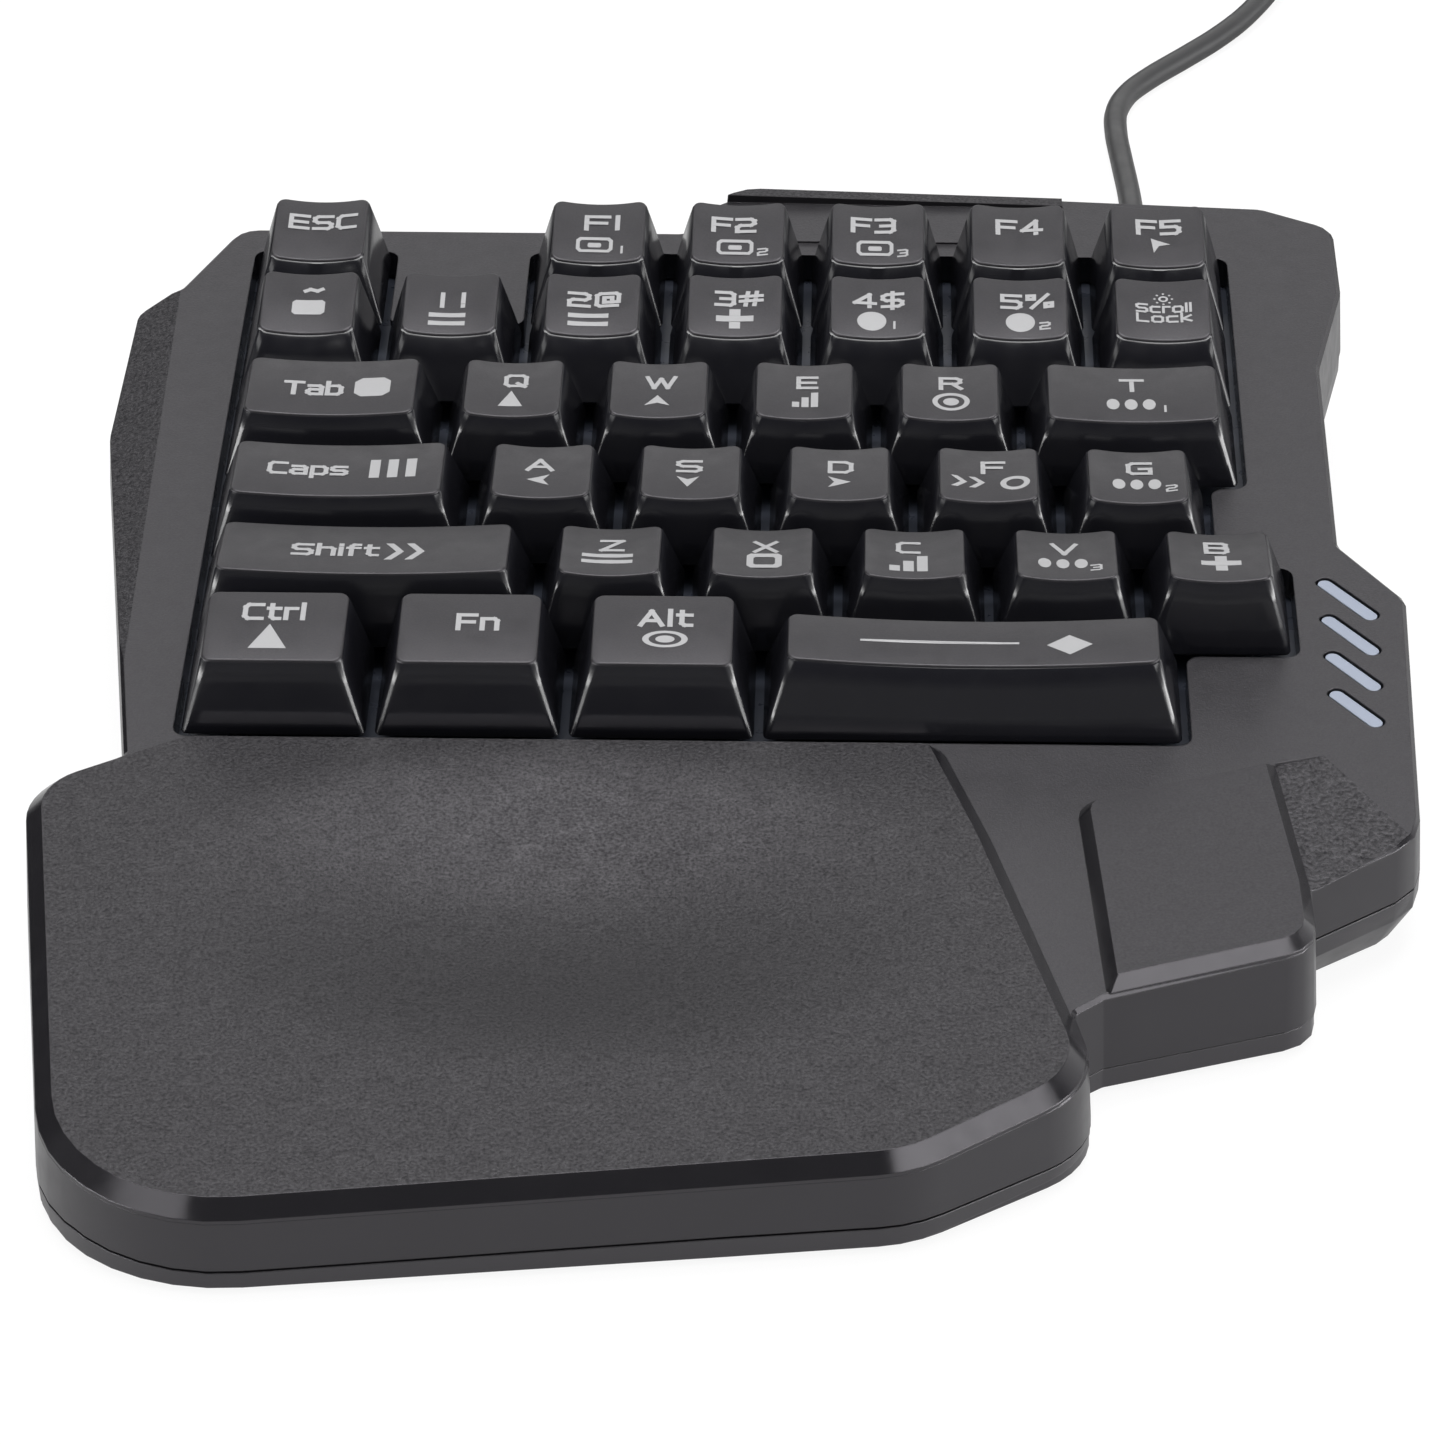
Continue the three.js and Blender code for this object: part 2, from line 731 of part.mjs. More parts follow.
function makeTopCase() {
  let made = loft([
    caseRing(0, -CASE_DEPTH),
    caseRing(0, -EDGE_BREAK),
    caseRing(EDGE_BREAK, 0),
  ]);
  made = made.subtract(leftFlank(0)).subtract(thumbFacet());
  made = made.add(plateau(palmShares, PALM_RISE, PALM_BEVEL));
  made = made.add(plateau(thumbShares, THUMB_RISE, THUMB_BEVEL));
  made = made.add(nameRim()).subtract(namePanel()).subtract(palmDish());
  const hollow = caseBody(WALL, -DECK_THICKNESS).subtract(leftFlank(DECK_THICKNESS));
  made = made.subtract(hollow);
  made = made.add(prism(rounded(wellCorners, -WELL_RIM), PART_GAP - PLATE_DROP, -OVERRUN));
  for (const { x, y, seat } of screwPlaces) {
    const foot = seat + PART_GAP;
    const pillar = rod(POST_RADIUS, foot, -OVERRUN, x, y, SCREW_SIDES);
    made = made.add(pillar.subtract(leftFlank(0)));
    const bore = rod(SCREW_RADIUS + PART_GAP, foot - OVERRUN, foot + SCREW_GRIP, x, y, SCREW_SIDES);
    made = made.subtract(bore);
  }
  made = made.subtract(prism(rounded(wellCorners), -PLATE_DROP, OVERRUN));
  made = made.subtract(eachSlot(0, -DECK_THICKNESS - OVERRUN, OVERRUN));
  return made.intersect(aboveSeam(0));
}

// Bottom case

// Its outer form: a band under the seam, a chamfer, and a straight wall down to the underside.
// Under the palm rest and the thumb pad only the band is left.
function baseBody(inset) {
  const bandFoot = (y) => rearSeamHeight(y) - BASE_BAND;
  const widened = inset - (REAR_SEAM_DROP + BASE_BAND) * WALL_DRAFT_SHARE;
  const ring = (extra, drop) =>
    rounded(caseCorners, widened + extra).map(
      ({ x, y }) => new THREE.Vector3(x, y, bandFoot(y) - drop),
    );
  const stepped = loft([
    ring(BASE_CHAMFER_RUN, CASE_DEPTH),
    ring(BASE_CHAMFER_RUN, BASE_CHAMFER_DROP),
    ring(0, 0),
    ring(0, -CASE_DEPTH),
  ]);
  return stepped.add(caseBody(inset, CASE_DEPTH).intersect(frontPlan(inset)));
}

function aboveLevel(rise) {
  return halfSpace(levelPlane(rise), levelNormal);
}

// Ribs under the backing plate: lines along the case at shares of the grid's width, and lines
// across it at shares of the grid's depth.
const ribAcrossShares = [0.12, 0.36, 0.6, 0.84];
const ribAlongShares = [-0.2, -0.5, -0.8];
const ribEndShares = { left: 0.02, right: 0.9, rear: -0.03, front: -0.97 };

function ribs() {
  const top = BACKING_TOP - BACKING_THICKNESS - PART_GAP;
  const half = RIB_THICKNESS / 2;
  const lengthwise = ribAcrossShares.map((share) => {
    const x = across(share);
    return block(
      new THREE.Vector3(x - half, along(ribEndShares.front), -CASE_DEPTH),
      new THREE.Vector3(x + half, along(ribEndShares.rear), top),
    );
  });
  const crosswise = ribAlongShares.map((share) => {
    const y = along(share);
    return block(
      new THREE.Vector3(across(ribEndShares.left), y - half, -CASE_DEPTH),
      new THREE.Vector3(across(ribEndShares.right), y + half, top),
    );
  });
  return joined([...lengthwise, ...crosswise]);
}

// Controller board under the palm rest, on four posts.
const boardCentreShares = [0.36, -1.42];
const boardCentre = {
  x: across(boardCentreShares[0]),
  y: along(boardCentreShares[1]),
};
const BOARD_BOTTOM = -BOARD_DROP - BOARD_THICKNESS;

function boardPosts() {
  const reachX = BOARD_WIDTH / 2 - BOARD_POST;
  const reachY = BOARD_DEPTH / 2 - BOARD_POST;
  const posts = [-reachX, reachX].flatMap((x) =>
    [-reachY, reachY].map((y) => {
      const centre = new THREE.Vector3(boardCentre.x + x, boardCentre.y + y, 0);
      const half = BOARD_POST / 2;
      return block(
        new THREE.Vector3(centre.x - half, centre.y - half, -CASE_DEPTH),
        new THREE.Vector3(centre.x + half, centre.y + half, BOARD_BOTTOM - PART_GAP),
      );
    }),
  );
  return joined(posts);
}

// Light guide and its board, side by side with the key plate.
const guideLeft = across(slotStartShares.x) - SLOT_WIDTH / 2 + PART_GAP;
const guideRear = along(slotStartShares.y) + SLOT_WIDTH;
const guideFront = guideRear - SLOT_COUNT * SLOT_PITCH - SLOT_WIDTH;
const GUIDE_TOP = -DECK_THICKNESS - PART_GAP;
const LIGHT_BOARD_TOP = GUIDE_TOP - GUIDE_THICKNESS - PART_GAP - LAMP_HEIGHT;

function lightPosts() {
  const top = LIGHT_BOARD_TOP - LIGHT_BOARD_THICKNESS - PART_GAP;
  const reach = BOARD_POST / 2;
  const posts = [guideRear - BOARD_POST, guideFront + BOARD_POST].map((y) => {
    const x = guideLeft + GUIDE_WIDTH / 2;
    return block(
      new THREE.Vector3(x - reach, y - reach, -CASE_DEPTH),
      new THREE.Vector3(x + reach, y + reach, top),
    );
  });
  return joined(posts);
}

// Feet stand on the desk, so they and their seats are drawn level and tipped onto the deck.
const footShares = {
  foot_front_left: [0.03, -1.77],
  foot_front_right: [0.63, -1.77],
  foot_rear_left: [0.06, -0.07],
  foot_rear_right: [0.93, -0.04],
};

function footSolid(name, spread, low, high) {
  const [x, y] = footShares[name];
  const centreY = along(y) + (DESK_DROP - FOOT_STAND) * Math.sin(CASE_TILT);
  const halfLength = FOOT_LENGTH / 2 + spread;
  const halfWidth = FOOT_WIDTH / 2 + spread;
  const corners = [
    [-1, -1],
    [1, -1],
    [1, 1],
    [-1, 1],
  ].map(([sideX, sideY]) => ({
    x: across(x) + sideX * halfLength,
    y: centreY + sideY * halfWidth,
    r: FOOT_RADIUS,
  }));
  return prism(rounded(corners), low - DESK_DROP, high - DESK_DROP);
}

function tipped(made) {
  return made.rotate([-THREE.MathUtils.radToDeg(CASE_TILT), 0, 0]);
}

// The lead leaves level through the rear wall of the bottom case.
const leadShares = { x: 0.902 };
const leadX = across(leadShares.x);

function rearWallPlace(x) {
  const [leftX, leftY] = nameEndShares;
  const [rightX, rightY] = rearRightShares;
  const share = (x - across(leftX)) / (across(rightX) - across(leftX));
  return THREE.MathUtils.lerp(along(leftY), along(rightY), share);
}

const leadWallDeck = rearWallPlace(leadX) - BASE_CHAMFER_RUN - BASE_INSET;
const leadHeight = RELIEF_HEIGHT - DESK_DROP;
const leadWallDraft = (REAR_SEAM_DROP + BASE_BAND) * WALL_DRAFT_SHARE;
const leadWall =
  (leadWallDeck + leadWallDraft - leadHeight * Math.sin(CASE_TILT)) / Math.cos(CASE_TILT);

function leadHole() {
  const geometry = new THREE.CylinderGeometry(
    RELIEF_NECK_RADIUS + PART_GAP,
    RELIEF_NECK_RADIUS + PART_GAP,
    2 * (WALL + OVERRUN),
    RELIEF_SIDES,
  );
  return tipped(solid(geometry.translate(leadX, leadWall, leadHeight)));
}

function makeBottomCase() {
  const outer = baseBody(BASE_INSET).intersect(aboveLevel(FOOT_STAND));
  const inner = baseBody(BASE_INSET + WALL).intersect(aboveLevel(FOOT_STAND + WALL));
  let made = outer.subtract(inner).subtract(aboveSeam(PART_GAP));
  const fittings = [ribs(), boardPosts(), lightPosts()];
  for (const { x, y, seat } of screwPlaces) {
    fittings.push(rod(POST_RADIUS, -CASE_DEPTH, seat, x, y, SCREW_SIDES));
  }
  made = made.add(joined(fittings).intersect(outer));
  for (const { x, y, seat } of screwPlaces) {
    const head = SCREW_HEAD_RADIUS + PART_GAP;
    const web = seat - POST_WEB;
    made = made.subtract(rod(head, -CASE_DEPTH, web, x, y, SCREW_SIDES));
    const hole = SCREW_RADIUS + PART_GAP;
    made = made.subtract(rod(hole, web - OVERRUN, seat + OVERRUN, x, y, SCREW_SIDES));
  }
  for (const name of Object.keys(footShares)) {
    const seat = footSolid(name, PART_GAP, -OVERRUN, FOOT_THICKNESS + PART_GAP);
    made = made.subtract(tipped(seat));
  }
  return made.subtract(leadHole());
}

// Keycaps

function keyFootprint([, row, left, width]) {
  return {
    left: left * KEY_PITCH,
    right: (left + width) * KEY_PITCH,
    rear: -row * KEY_PITCH,
    front: -(row + 1) * KEY_PITCH,
    middle: (left + width / 2) * KEY_PITCH,
    centre: -(row + 0.5) * KEY_PITCH,
  };
}

// A rectangle with rounded corners and extra points along its front and rear edges. The points
// run from the left end of the front edge round to the left end of the rear edge, so that the
// first half pairs with the second across the key.
function keyRing(low, high, radius) {
  const arc = (x, y, from) =>
    Array.from({ length: CORNER_STEPS + 1 }, (_, i) => {
      const angle = from + (i * Math.PI) / 2 / CORNER_STEPS;
      return new THREE.Vector3(x + radius * Math.cos(angle), y + radius * Math.sin(angle), 0);
    });
  const edge = (y, from, to) =>
    Array.from({ length: EDGE_POINTS }, (_, i) => {
      const share = (i + 1) / (EDGE_POINTS + 1);
      return new THREE.Vector3(THREE.MathUtils.lerp(from, to, share), y, 0);
    });
  const left = low.x + radius;
  const right = high.x - radius;
  return [
    ...arc(left, low.y + radius, Math.PI),
    ...edge(low.y, left, right),
    ...arc(right, low.y + radius, -Math.PI / 2),
    ...arc(right, high.y - radius, 0),
    ...edge(high.y, right, left),
    ...arc(left, high.y - radius, Math.PI / 2),
  ];
}

function pairedFaces(count) {
  const faces = [];
  for (let i = 0; i + 1 < count / 2; i++) {
    const opposite = count - 1 - i;
    faces.push([i, i + 1, opposite - 1], [i, opposite - 1, opposite]);
  }
  return faces;
}

// The top face of a key: its four edges, and its height at any place.
function keyTop(key) {
  const [name, row] = key;
  const wide = name === "space";
  const { rear, front } = wide ? spaceProfileShares : rowProfileShares[row];
  const foot = keyFootprint(key);
  const inset = wide ? SPACE_TOP_INSET : TOP_INSET;
  const sculpted = wide ? SPACE_TOP_DISH : TOP_DISH;
  const dish = FLAT_KEYS.includes(name) ? 0 : sculpted;
  const top = {
    left: foot.left + inset,
    right: foot.right - inset,
    rear: foot.rear - rear[0] * KEY_PITCH,
    front: foot.rear - front[0] * KEY_PITCH,
  };
  top.height = (x, y) => {
    const forward = (top.rear - y) / (top.rear - top.front);
    const edge = THREE.MathUtils.lerp(rear[1], front[1], forward) * KEY_HEIGHT;
    const out = (2 * x - top.left - top.right) / (top.right - top.left);
    return edge - dish * (1 - out * out);
  };
  top.lowest = Math.min(rear[1], front[1]) * KEY_HEIGHT - dish;
  return top;
}

function makeKeycap(key) {
  const foot = keyFootprint(key);
  const top = keyTop(key);
  const skirtLow = new THREE.Vector2(foot.left + SKIRT_INSET, foot.front + SKIRT_INSET);
  const skirtHigh = new THREE.Vector2(foot.right - SKIRT_INSET, foot.rear - SKIRT_INSET);
  const topLow = new THREE.Vector2(top.left, top.front);
  const topHigh = new THREE.Vector2(top.right, top.rear);
  const skirt = keyRing(skirtLow, skirtHigh, SKIRT_RADIUS);
  const crown = keyRing(topLow, topHigh, TOP_RADIUS);
  skirt.forEach((point) => (point.z = -SKIRT_DROP));
  crown.forEach((point) => (point.z = top.height(point.x, point.y)));
  let made = loft([skirt, crown], pairedFaces(crown.length));

  const wall = new THREE.Vector2(KEY_WALL, KEY_WALL);
  const roof = top.lowest - KEY_ROOF;
  made = made.subtract(
    loft([
      openRing(skirtLow.clone().add(wall), skirtHigh.clone().sub(wall), -SKIRT_DROP - OVERRUN),
      openRing(topLow.clone().add(wall), topHigh.clone().sub(wall), roof),
    ]),
  );
  const stemFoot = DOME_TOP + PART_GAP;
  made = made.add(post(foot.middle, foot.centre, STEM_WIDTH, stemFoot, roof + OVERRUN / 2));
  for (const x of guidePosts(key)) {
    const high = roof + OVERRUN / 2;
    made = made.add(post(x, foot.centre, GUIDE_POST_WIDTH, stemFoot, high));
  }
  return made;
}

function openRing(low, high, height) {
  return [
    new THREE.Vector3(low.x, low.y, height),
    new THREE.Vector3(high.x, low.y, height),
    new THREE.Vector3(high.x, high.y, height),
    new THREE.Vector3(low.x, high.y, height),
  ];
}

function post(x, y, width, low, high) {
  const half = width / 2;
  return block(
    new THREE.Vector3(x - half, y - half, low),
    new THREE.Vector3(x + half, y + half, high),
  );
}

// Long keys have a guide post near each end, which keeps them level.
function guidePosts(key) {
  if (key[3] < LONG_KEY_SHARE) return [];
  const foot = keyFootprint(key);
  return [foot.left + GUIDE_POST_SETBACK, foot.right - GUIDE_POST_SETBACK];
}

// Key plate: a tray with a skirt, and a chimney round every stem
function makeKeyPlate() {
  const high = -PLATE_DROP;
  const low = PLATE_FOOT;
  const skirtFoot = SHEET_TOP + PART_GAP;
  let made = prism(rounded(stackCorners, -PLATE_LAP), skirtFoot, high);
  const hollow = prism(rounded(stackCorners, PLATE_SKIRT - PLATE_LAP), skirtFoot - OVERRUN, low);
  made = made.subtract(hollow);
  const bore = STEM_WIDTH + 2 * STEM_CLEARANCE;
  const outside = bore + 2 * CHIMNEY_WALL;
  const sockets = [];
  const chimneys = [];
  for (const key of keyShares) {
    const { middle, centre } = keyFootprint(key);
    chimneys.push(post(middle, centre, outside, low + OVERRUN / 2, CHIMNEY_RISE));
    sockets.push(post(middle, centre, bore, low - OVERRUN, CHIMNEY_RISE + OVERRUN));
    for (const x of guidePosts(key)) {
      const socket = GUIDE_POST_WIDTH + 2 * STEM_CLEARANCE;
      sockets.push(post(x, centre, socket, low - OVERRUN, high + OVERRUN));
    }
  }
  return made.add(joined(chimneys)).subtract(joined(sockets));
}

// Dome sheet: a hollow rubber dome stands under every stem
function dome(x, y, low, high, wall) {
  const geometry = new THREE.CylinderGeometry(
    DOME_TOP_RADIUS - wall,
    DOME_BASE_RADIUS - wall,
    high - low,
    DOME_SIDES,
  );
  return solid(geometry.rotateX(Math.PI / 2).translate(x, y, (low + high) / 2));
}

function makeDomeSheet() {
  const low = SHEET_TOP - SHEET_THICKNESS;
  const domes = [];
  const hollows = [];
  for (const key of keyShares) {
    const { middle, centre } = keyFootprint(key);
    domes.push(dome(middle, centre, SHEET_TOP - SHEET_THICKNESS / 2, DOME_TOP, 0));
    hollows.push(dome(middle, centre, low - OVERRUN, DOME_TOP - DOME_WALL, DOME_WALL));
  }
  const sheet = prism(rounded(stackCorners, SHEET_SETBACK - PLATE_LAP), low, SHEET_TOP);
  return sheet.add(joined(domes)).subtract(joined(hollows));
}

// Membrane with the tail that runs forward to the controller board
function makeMembrane() {
  const high = MEMBRANE_TOP;
  const low = high - MEMBRANE_THICKNESS;
  const sheet = prism(rounded(stackCorners, SHEET_SETBACK - PLATE_LAP), low, high);
  const half = MEMBRANE_TAIL_WIDTH / 2;
  const front = boardCentre.y + BOARD_DEPTH / 2 - HEADER_DEPTH;
  const tail = block(
    new THREE.Vector3(boardCentre.x - half, front, low),
    new THREE.Vector3(boardCentre.x + half, -GRID_DEPTH, high),
  );
  return sheet.add(tail);
}

function makeBackingPlate() {
  const outline = rounded(stackCorners, SHEET_SETBACK - PLATE_LAP);
  return prism(outline, BACKING_TOP - BACKING_THICKNESS, BACKING_TOP);
}

// Controller board with its chip, and the header that takes the lead and the membrane tail
function makeControllerBoard() {
  const top = -BOARD_DROP;
  const half = new THREE.Vector3(BOARD_WIDTH / 2, BOARD_DEPTH / 2, 0);
  const centre = new THREE.Vector3(boardCentre.x, boardCentre.y, 0);
  const low = centre.clone().sub(half).setZ(BOARD_BOTTOM);
  const board = block(low, centre.clone().add(half).setZ(top));
  const embed = BOARD_THICKNESS / 2;
  const chip = post(boardCentre.x, boardCentre.y, CHIP_SIZE, top - embed, top + CHIP_HEIGHT);
  const headerLow = low.clone().setX(low.x + BOARD_POST).setZ(top - embed);
  const headerSize = new THREE.Vector3(HEADER_WIDTH, HEADER_DEPTH, embed + HEADER_HEIGHT);
  return board.add(chip).add(block(headerLow, headerLow.clone().add(headerSize)));
}

function makeLightGuide() {
  const low = GUIDE_TOP - GUIDE_THICKNESS;
  const slab = block(
    new THREE.Vector3(guideLeft, guideFront, low),
    new THREE.Vector3(guideLeft + GUIDE_WIDTH, guideRear, GUIDE_TOP),
  );
  const trimmed = slab.intersect(caseBody(WALL + PART_GAP, 0));
  return trimmed.add(eachSlot(PART_GAP, GUIDE_TOP - GUIDE_THICKNESS / 2, -LENS_DROP));
}

function makeLightBoard() {
  const low = LIGHT_BOARD_TOP - LIGHT_BOARD_THICKNESS;
  let made = block(
    new THREE.Vector3(guideLeft + PART_GAP, guideFront, low),
    new THREE.Vector3(guideLeft + GUIDE_WIDTH - PART_GAP, guideRear, LIGHT_BOARD_TOP),
  );
  made = made.intersect(caseBody(WALL + PART_GAP, 0));
  for (let i = 0; i < SLOT_COUNT; i++) {
    const y = guideRear - SLOT_WIDTH - (i + 0.5) * SLOT_PITCH;
    const x = guideLeft + GUIDE_WIDTH / 2;
    made = made.add(post(x, y, LAMP_SIZE, low + PART_GAP, LIGHT_BOARD_TOP + LAMP_HEIGHT));
  }
  return made;
}

// A screw hangs head down under the web of its post.
function makeScrew({ x, y, seat }) {
  const underHead = seat - POST_WEB - PART_GAP;
  const tip = seat + SCREW_GRIP;
  const profile = [
    new THREE.Vector2(0, underHead - SCREW_HEAD_HEIGHT),
    new THREE.Vector2(SCREW_HEAD_RADIUS, underHead - SCREW_HEAD_HEIGHT),
    new THREE.Vector2(SCREW_HEAD_RADIUS, underHead),
    new THREE.Vector2(SCREW_RADIUS, underHead),
    new THREE.Vector2(SCREW_RADIUS, tip - SCREW_RADIUS),
    new THREE.Vector2(0, tip),
  ];
  const geometry = new THREE.LatheGeometry(profile, SCREW_SIDES).rotateX(Math.PI / 2);
  return solid(geometry.translate(x, y, 0));
}

// Lead, drawn level on the desk: heights here are above the desk

// The strain relief clips into the rear wall with a flange inside it.
function makeStrainRelief() {
  const inside = -WALL - PART_GAP * 2;
  const profile = [
    new THREE.Vector2(0, inside - RELIEF_FLANGE),
    new THREE.Vector2(RELIEF_FLANGE_RADIUS, inside - RELIEF_FLANGE),
    new THREE.Vector2(RELIEF_FLANGE_RADIUS, inside),
    new THREE.Vector2(RELIEF_NECK_RADIUS, inside),
    new THREE.Vector2(RELIEF_NECK_RADIUS, PART_GAP * 2),
    new THREE.Vector2(RELIEF_ROOT_RADIUS, PART_GAP * 2),
    new THREE.Vector2(RELIEF_ROOT_RADIUS, RELIEF_FLANGE),
    new THREE.Vector2(RELIEF_TIP_RADIUS, RELIEF_LENGTH),
    new THREE.Vector2(0, RELIEF_LENGTH),
  ];
  const geometry = new THREE.LatheGeometry(profile, RELIEF_SIDES);
  return solid(geometry.translate(leadX, leadWall, RELIEF_HEIGHT));
}

// The route from the strain relief to the coil, chosen by hand: beyond the rear wall, it drops
// to the desk and then winds away. Places are across and along from the wall, and height.
const route = [
  [0, 14.3, 8],
  [0, 19.5, 7.8],
  [0, 26, 6.4],
  [0, 34, 4],
  [0, 43, 2.4],
  [0, 53, 1.9],
  [-0.3, 65, 1.8],
  [-1, 77, 1.8],
  [-1.5, 87, 1.8],
  [-1.2, 95, 1.8],
  [0.8, 102, 1.8],
  [4.6, 108.5, 1.8],
  [10.8, 117, 1.8],
  [15.6, 123.6, 1.9],
  [20.3, 131, 2.2],
  [24.2, 139, 2.6],
  [27.4, 148, 2.8],
  [29.8, 157, 2.8],
  [31.6, 165, 2.8],
].map(([x, y, z]) => new THREE.Vector3(leadX + x, leadWall + y, z));

function polygon(radius, sides) {
  return Array.from({ length: sides }, (_, i) => {
    const angle = ((i + 0.5) * 2 * Math.PI) / sides;
    return new THREE.Vector2(radius * Math.cos(angle), radius * Math.sin(angle));
  });
}

function makeCordRun() {
  const shape = new THREE.Shape(polygon(CORD_RADIUS, CORD_SIDES));
  const extrudePath = new THREE.CatmullRomCurve3(route, false, "centripetal");
  const options = { steps: CORD_STEPS, bevelEnabled: false, extrudePath };
  return solid(new THREE.ExtrudeGeometry(shape, options));
}

// The coil winds in on the desk, climbs a layer where it reverses, and winds out again on top.
const routeEnd = route.at(-1);
const coilHeading = routeEnd.clone().sub(route.at(-2)).setZ(0).normalize();
const coilLeft = new THREE.Vector3(-coilHeading.y, coilHeading.x, 0);
const coilSpread = (COIL_TURNS / 4) * COIL_PITCH;
const coilOuter = COIL_MIDDLE_RADIUS + coilSpread;
const coilInner = COIL_MIDDLE_RADIUS - coilSpread;
const coilStart = routeEnd.clone().addScaledVector(coilHeading, PART_GAP + CORD_DIAMETER);
const coilCentre = coilStart.clone().addScaledVector(coilLeft, coilOuter);
const coilStartAngle = Math.atan2(-coilLeft.y, -coilLeft.x);

function coilPoint(turns) {
  const reversal = COIL_TURNS / 2;
  const radius = coilInner + Math.abs(turns - reversal) * COIL_PITCH;
  const climb = (turns - reversal) / CLIMB_TURNS_SHARE + 0.5;
  const angle = coilStartAngle + turns * 2 * Math.PI;
  return new THREE.Vector3(
    coilCentre.x + radius * Math.cos(angle),
    coilCentre.y + radius * Math.sin(angle),
    CORD_RADIUS + COIL_LIFT + THREE.MathUtils.clamp(climb, 0, 1) * COIL_PITCH,
  );
}

// From the last turn the lead runs off straight and sinks to the height of the plug.
const coilEnd = coilPoint(COIL_TURNS);
const endAngle = coilStartAngle + COIL_TURNS * 2 * Math.PI;
const endHeading = new THREE.Vector3(-Math.sin(endAngle), Math.cos(endAngle), 0);

function coilPath() {
  const points = [coilStart.clone().addScaledVector(coilHeading, -CORD_DIAMETER)];
  const steps = Math.round(COIL_TURNS * COIL_STEPS);
  for (let i = 0; i <= steps; i++) {
    points.push(coilPoint((i * COIL_TURNS) / steps));
  }
  for (let i = 1; i <= LEAD_POINTS; i++) {
    const share = i / LEAD_POINTS;
    const point = coilEnd.clone().addScaledVector(endHeading, COIL_LEAD * share);
    const sunk = THREE.MathUtils.smoothstep(share, SINK_START_SHARE, 1);
    point.z = THREE.MathUtils.lerp(coilEnd.z, PLUG_THICKNESS / 2, sunk);
    points.push(point);
  }
  points.push(points.at(-1).clone().addScaledVector(endHeading, CORD_DIAMETER));
  return points;
}

// A tube along points, with its sections square to the path and one side always up.
function sweep(points, radius, sides) {
  const up = new THREE.Vector3(0, 0, 1);
  const rings = points.map((point, i) => {
    const ahead = points[Math.min(i + 1, points.length - 1)];
    const behind = points[Math.max(i - 1, 0)];
    const heading = ahead.clone().sub(behind).normalize();
    const side = heading.clone().cross(up).normalize();
    const rise = side.clone().cross(heading);
    return polygon(radius, sides).map(({ x, y }) =>
      point.clone().addScaledVector(side, x).addScaledVector(rise, y),
    );
  });
  const indices = [];
  for (let i = 1; i + 1 < sides; i++) {
    const last = (rings.length - 1) * sides;
    indices.push(0, i, i + 1, last, last + i + 1, last + i);
  }
  for (let ring = 0; ring + 1 < rings.length; ring++) {
    for (let i = 0; i < sides; i++) {
      const a = ring * sides + i;
      const b = ring * sides + ((i + 1) % sides);
      indices.push(a, a + sides, b + sides, a, b + sides, b);
    }
  }
  const positions = rings.flat().flatMap((point) => [point.x, point.y, point.z]);
  return solidOf(positions, indices);
}

function pathLength(points) {
  return points.slice(1).reduce((sum, point, i) => sum + point.distanceTo(points[i]), 0);
}

// The least gap of the coil to itself, between points more than a few diameters apart along it.
function leastGap(points) {
  const apart = 4 * CORD_DIAMETER;
  let least = Infinity;
  points.forEach((a, i) => {
    let run = 0;
    for (let j = i + 1; j < points.length; j++) {
      run += points[j].distanceTo(points[j - 1]);
      if (run > apart) least = Math.min(least, a.distanceTo(points[j]));
    }
  });
  return least - CORD_DIAMETER;
}

// The tie is a band round the bundle of turns at one place of the coil.
const tieTurnShare = 0.7;

function makeTie() {
  const angle = coilStartAngle + tieTurnShare * 2 * Math.PI;
  const radii = Array.from({ length: Math.floor(COIL_TURNS - tieTurnShare) + 1 }, (_, i) => {
    const point = coilPoint(i + tieTurnShare);
    return Math.hypot(point.x - coilCentre.x, point.y - coilCentre.y);
  });
  const room = CORD_RADIUS + PART_GAP + TIE_CURVE_ROOM;
  const inner = Math.min(...radii) - room;
  const outer = Math.max(...radii) + room;
  const low = COIL_LIFT - PART_GAP;
  const high = COIL_LIFT + CORD_DIAMETER + COIL_PITCH + PART_GAP;
  const band = (spread) =>
    [
      [inner - spread, low - spread],
      [outer + spread, low - spread],
      [outer + spread, high + spread],
      [inner - spread, high + spread],
    ].map(([x, y]) => ({ x, y, r: CORD_RADIUS }));
  const outside = prism(rounded(band(TIE_THICKNESS)), -TIE_WIDTH / 2, TIE_WIDTH / 2);
  const opening = prism(rounded(band(0)), -TIE_WIDTH, TIE_WIDTH);
  const standing = outside.subtract(opening).rotate([90, 0, 0]);
  const turned = standing.rotate([0, 0, THREE.MathUtils.radToDeg(angle)]);
  return turned.translate([coilCentre.x, coilCentre.y, 0]);
}

// USB plug, drawn along +x from the end of the lead and lying flat on the desk
function plugSection(place, inset) {
  const halfWidth = PLUG_WIDTH / 2 - inset;
  const halfThickness = PLUG_THICKNESS / 2 - inset;
  const corners = rectangle(halfWidth, halfThickness, PLUG_RADIUS);
  return rounded(corners).map(({ x, y }) => new THREE.Vector3(x, y, place));
}

function rectangle(halfWidth, halfHeight, radius) {
  return [
    { x: -halfWidth, y: -halfHeight, r: radius },
    { x: halfWidth, y: -halfHeight, r: radius },
    { x: halfWidth, y: halfHeight, r: radius },
    { x: -halfWidth, y: halfHeight, r: radius },
  ];
}

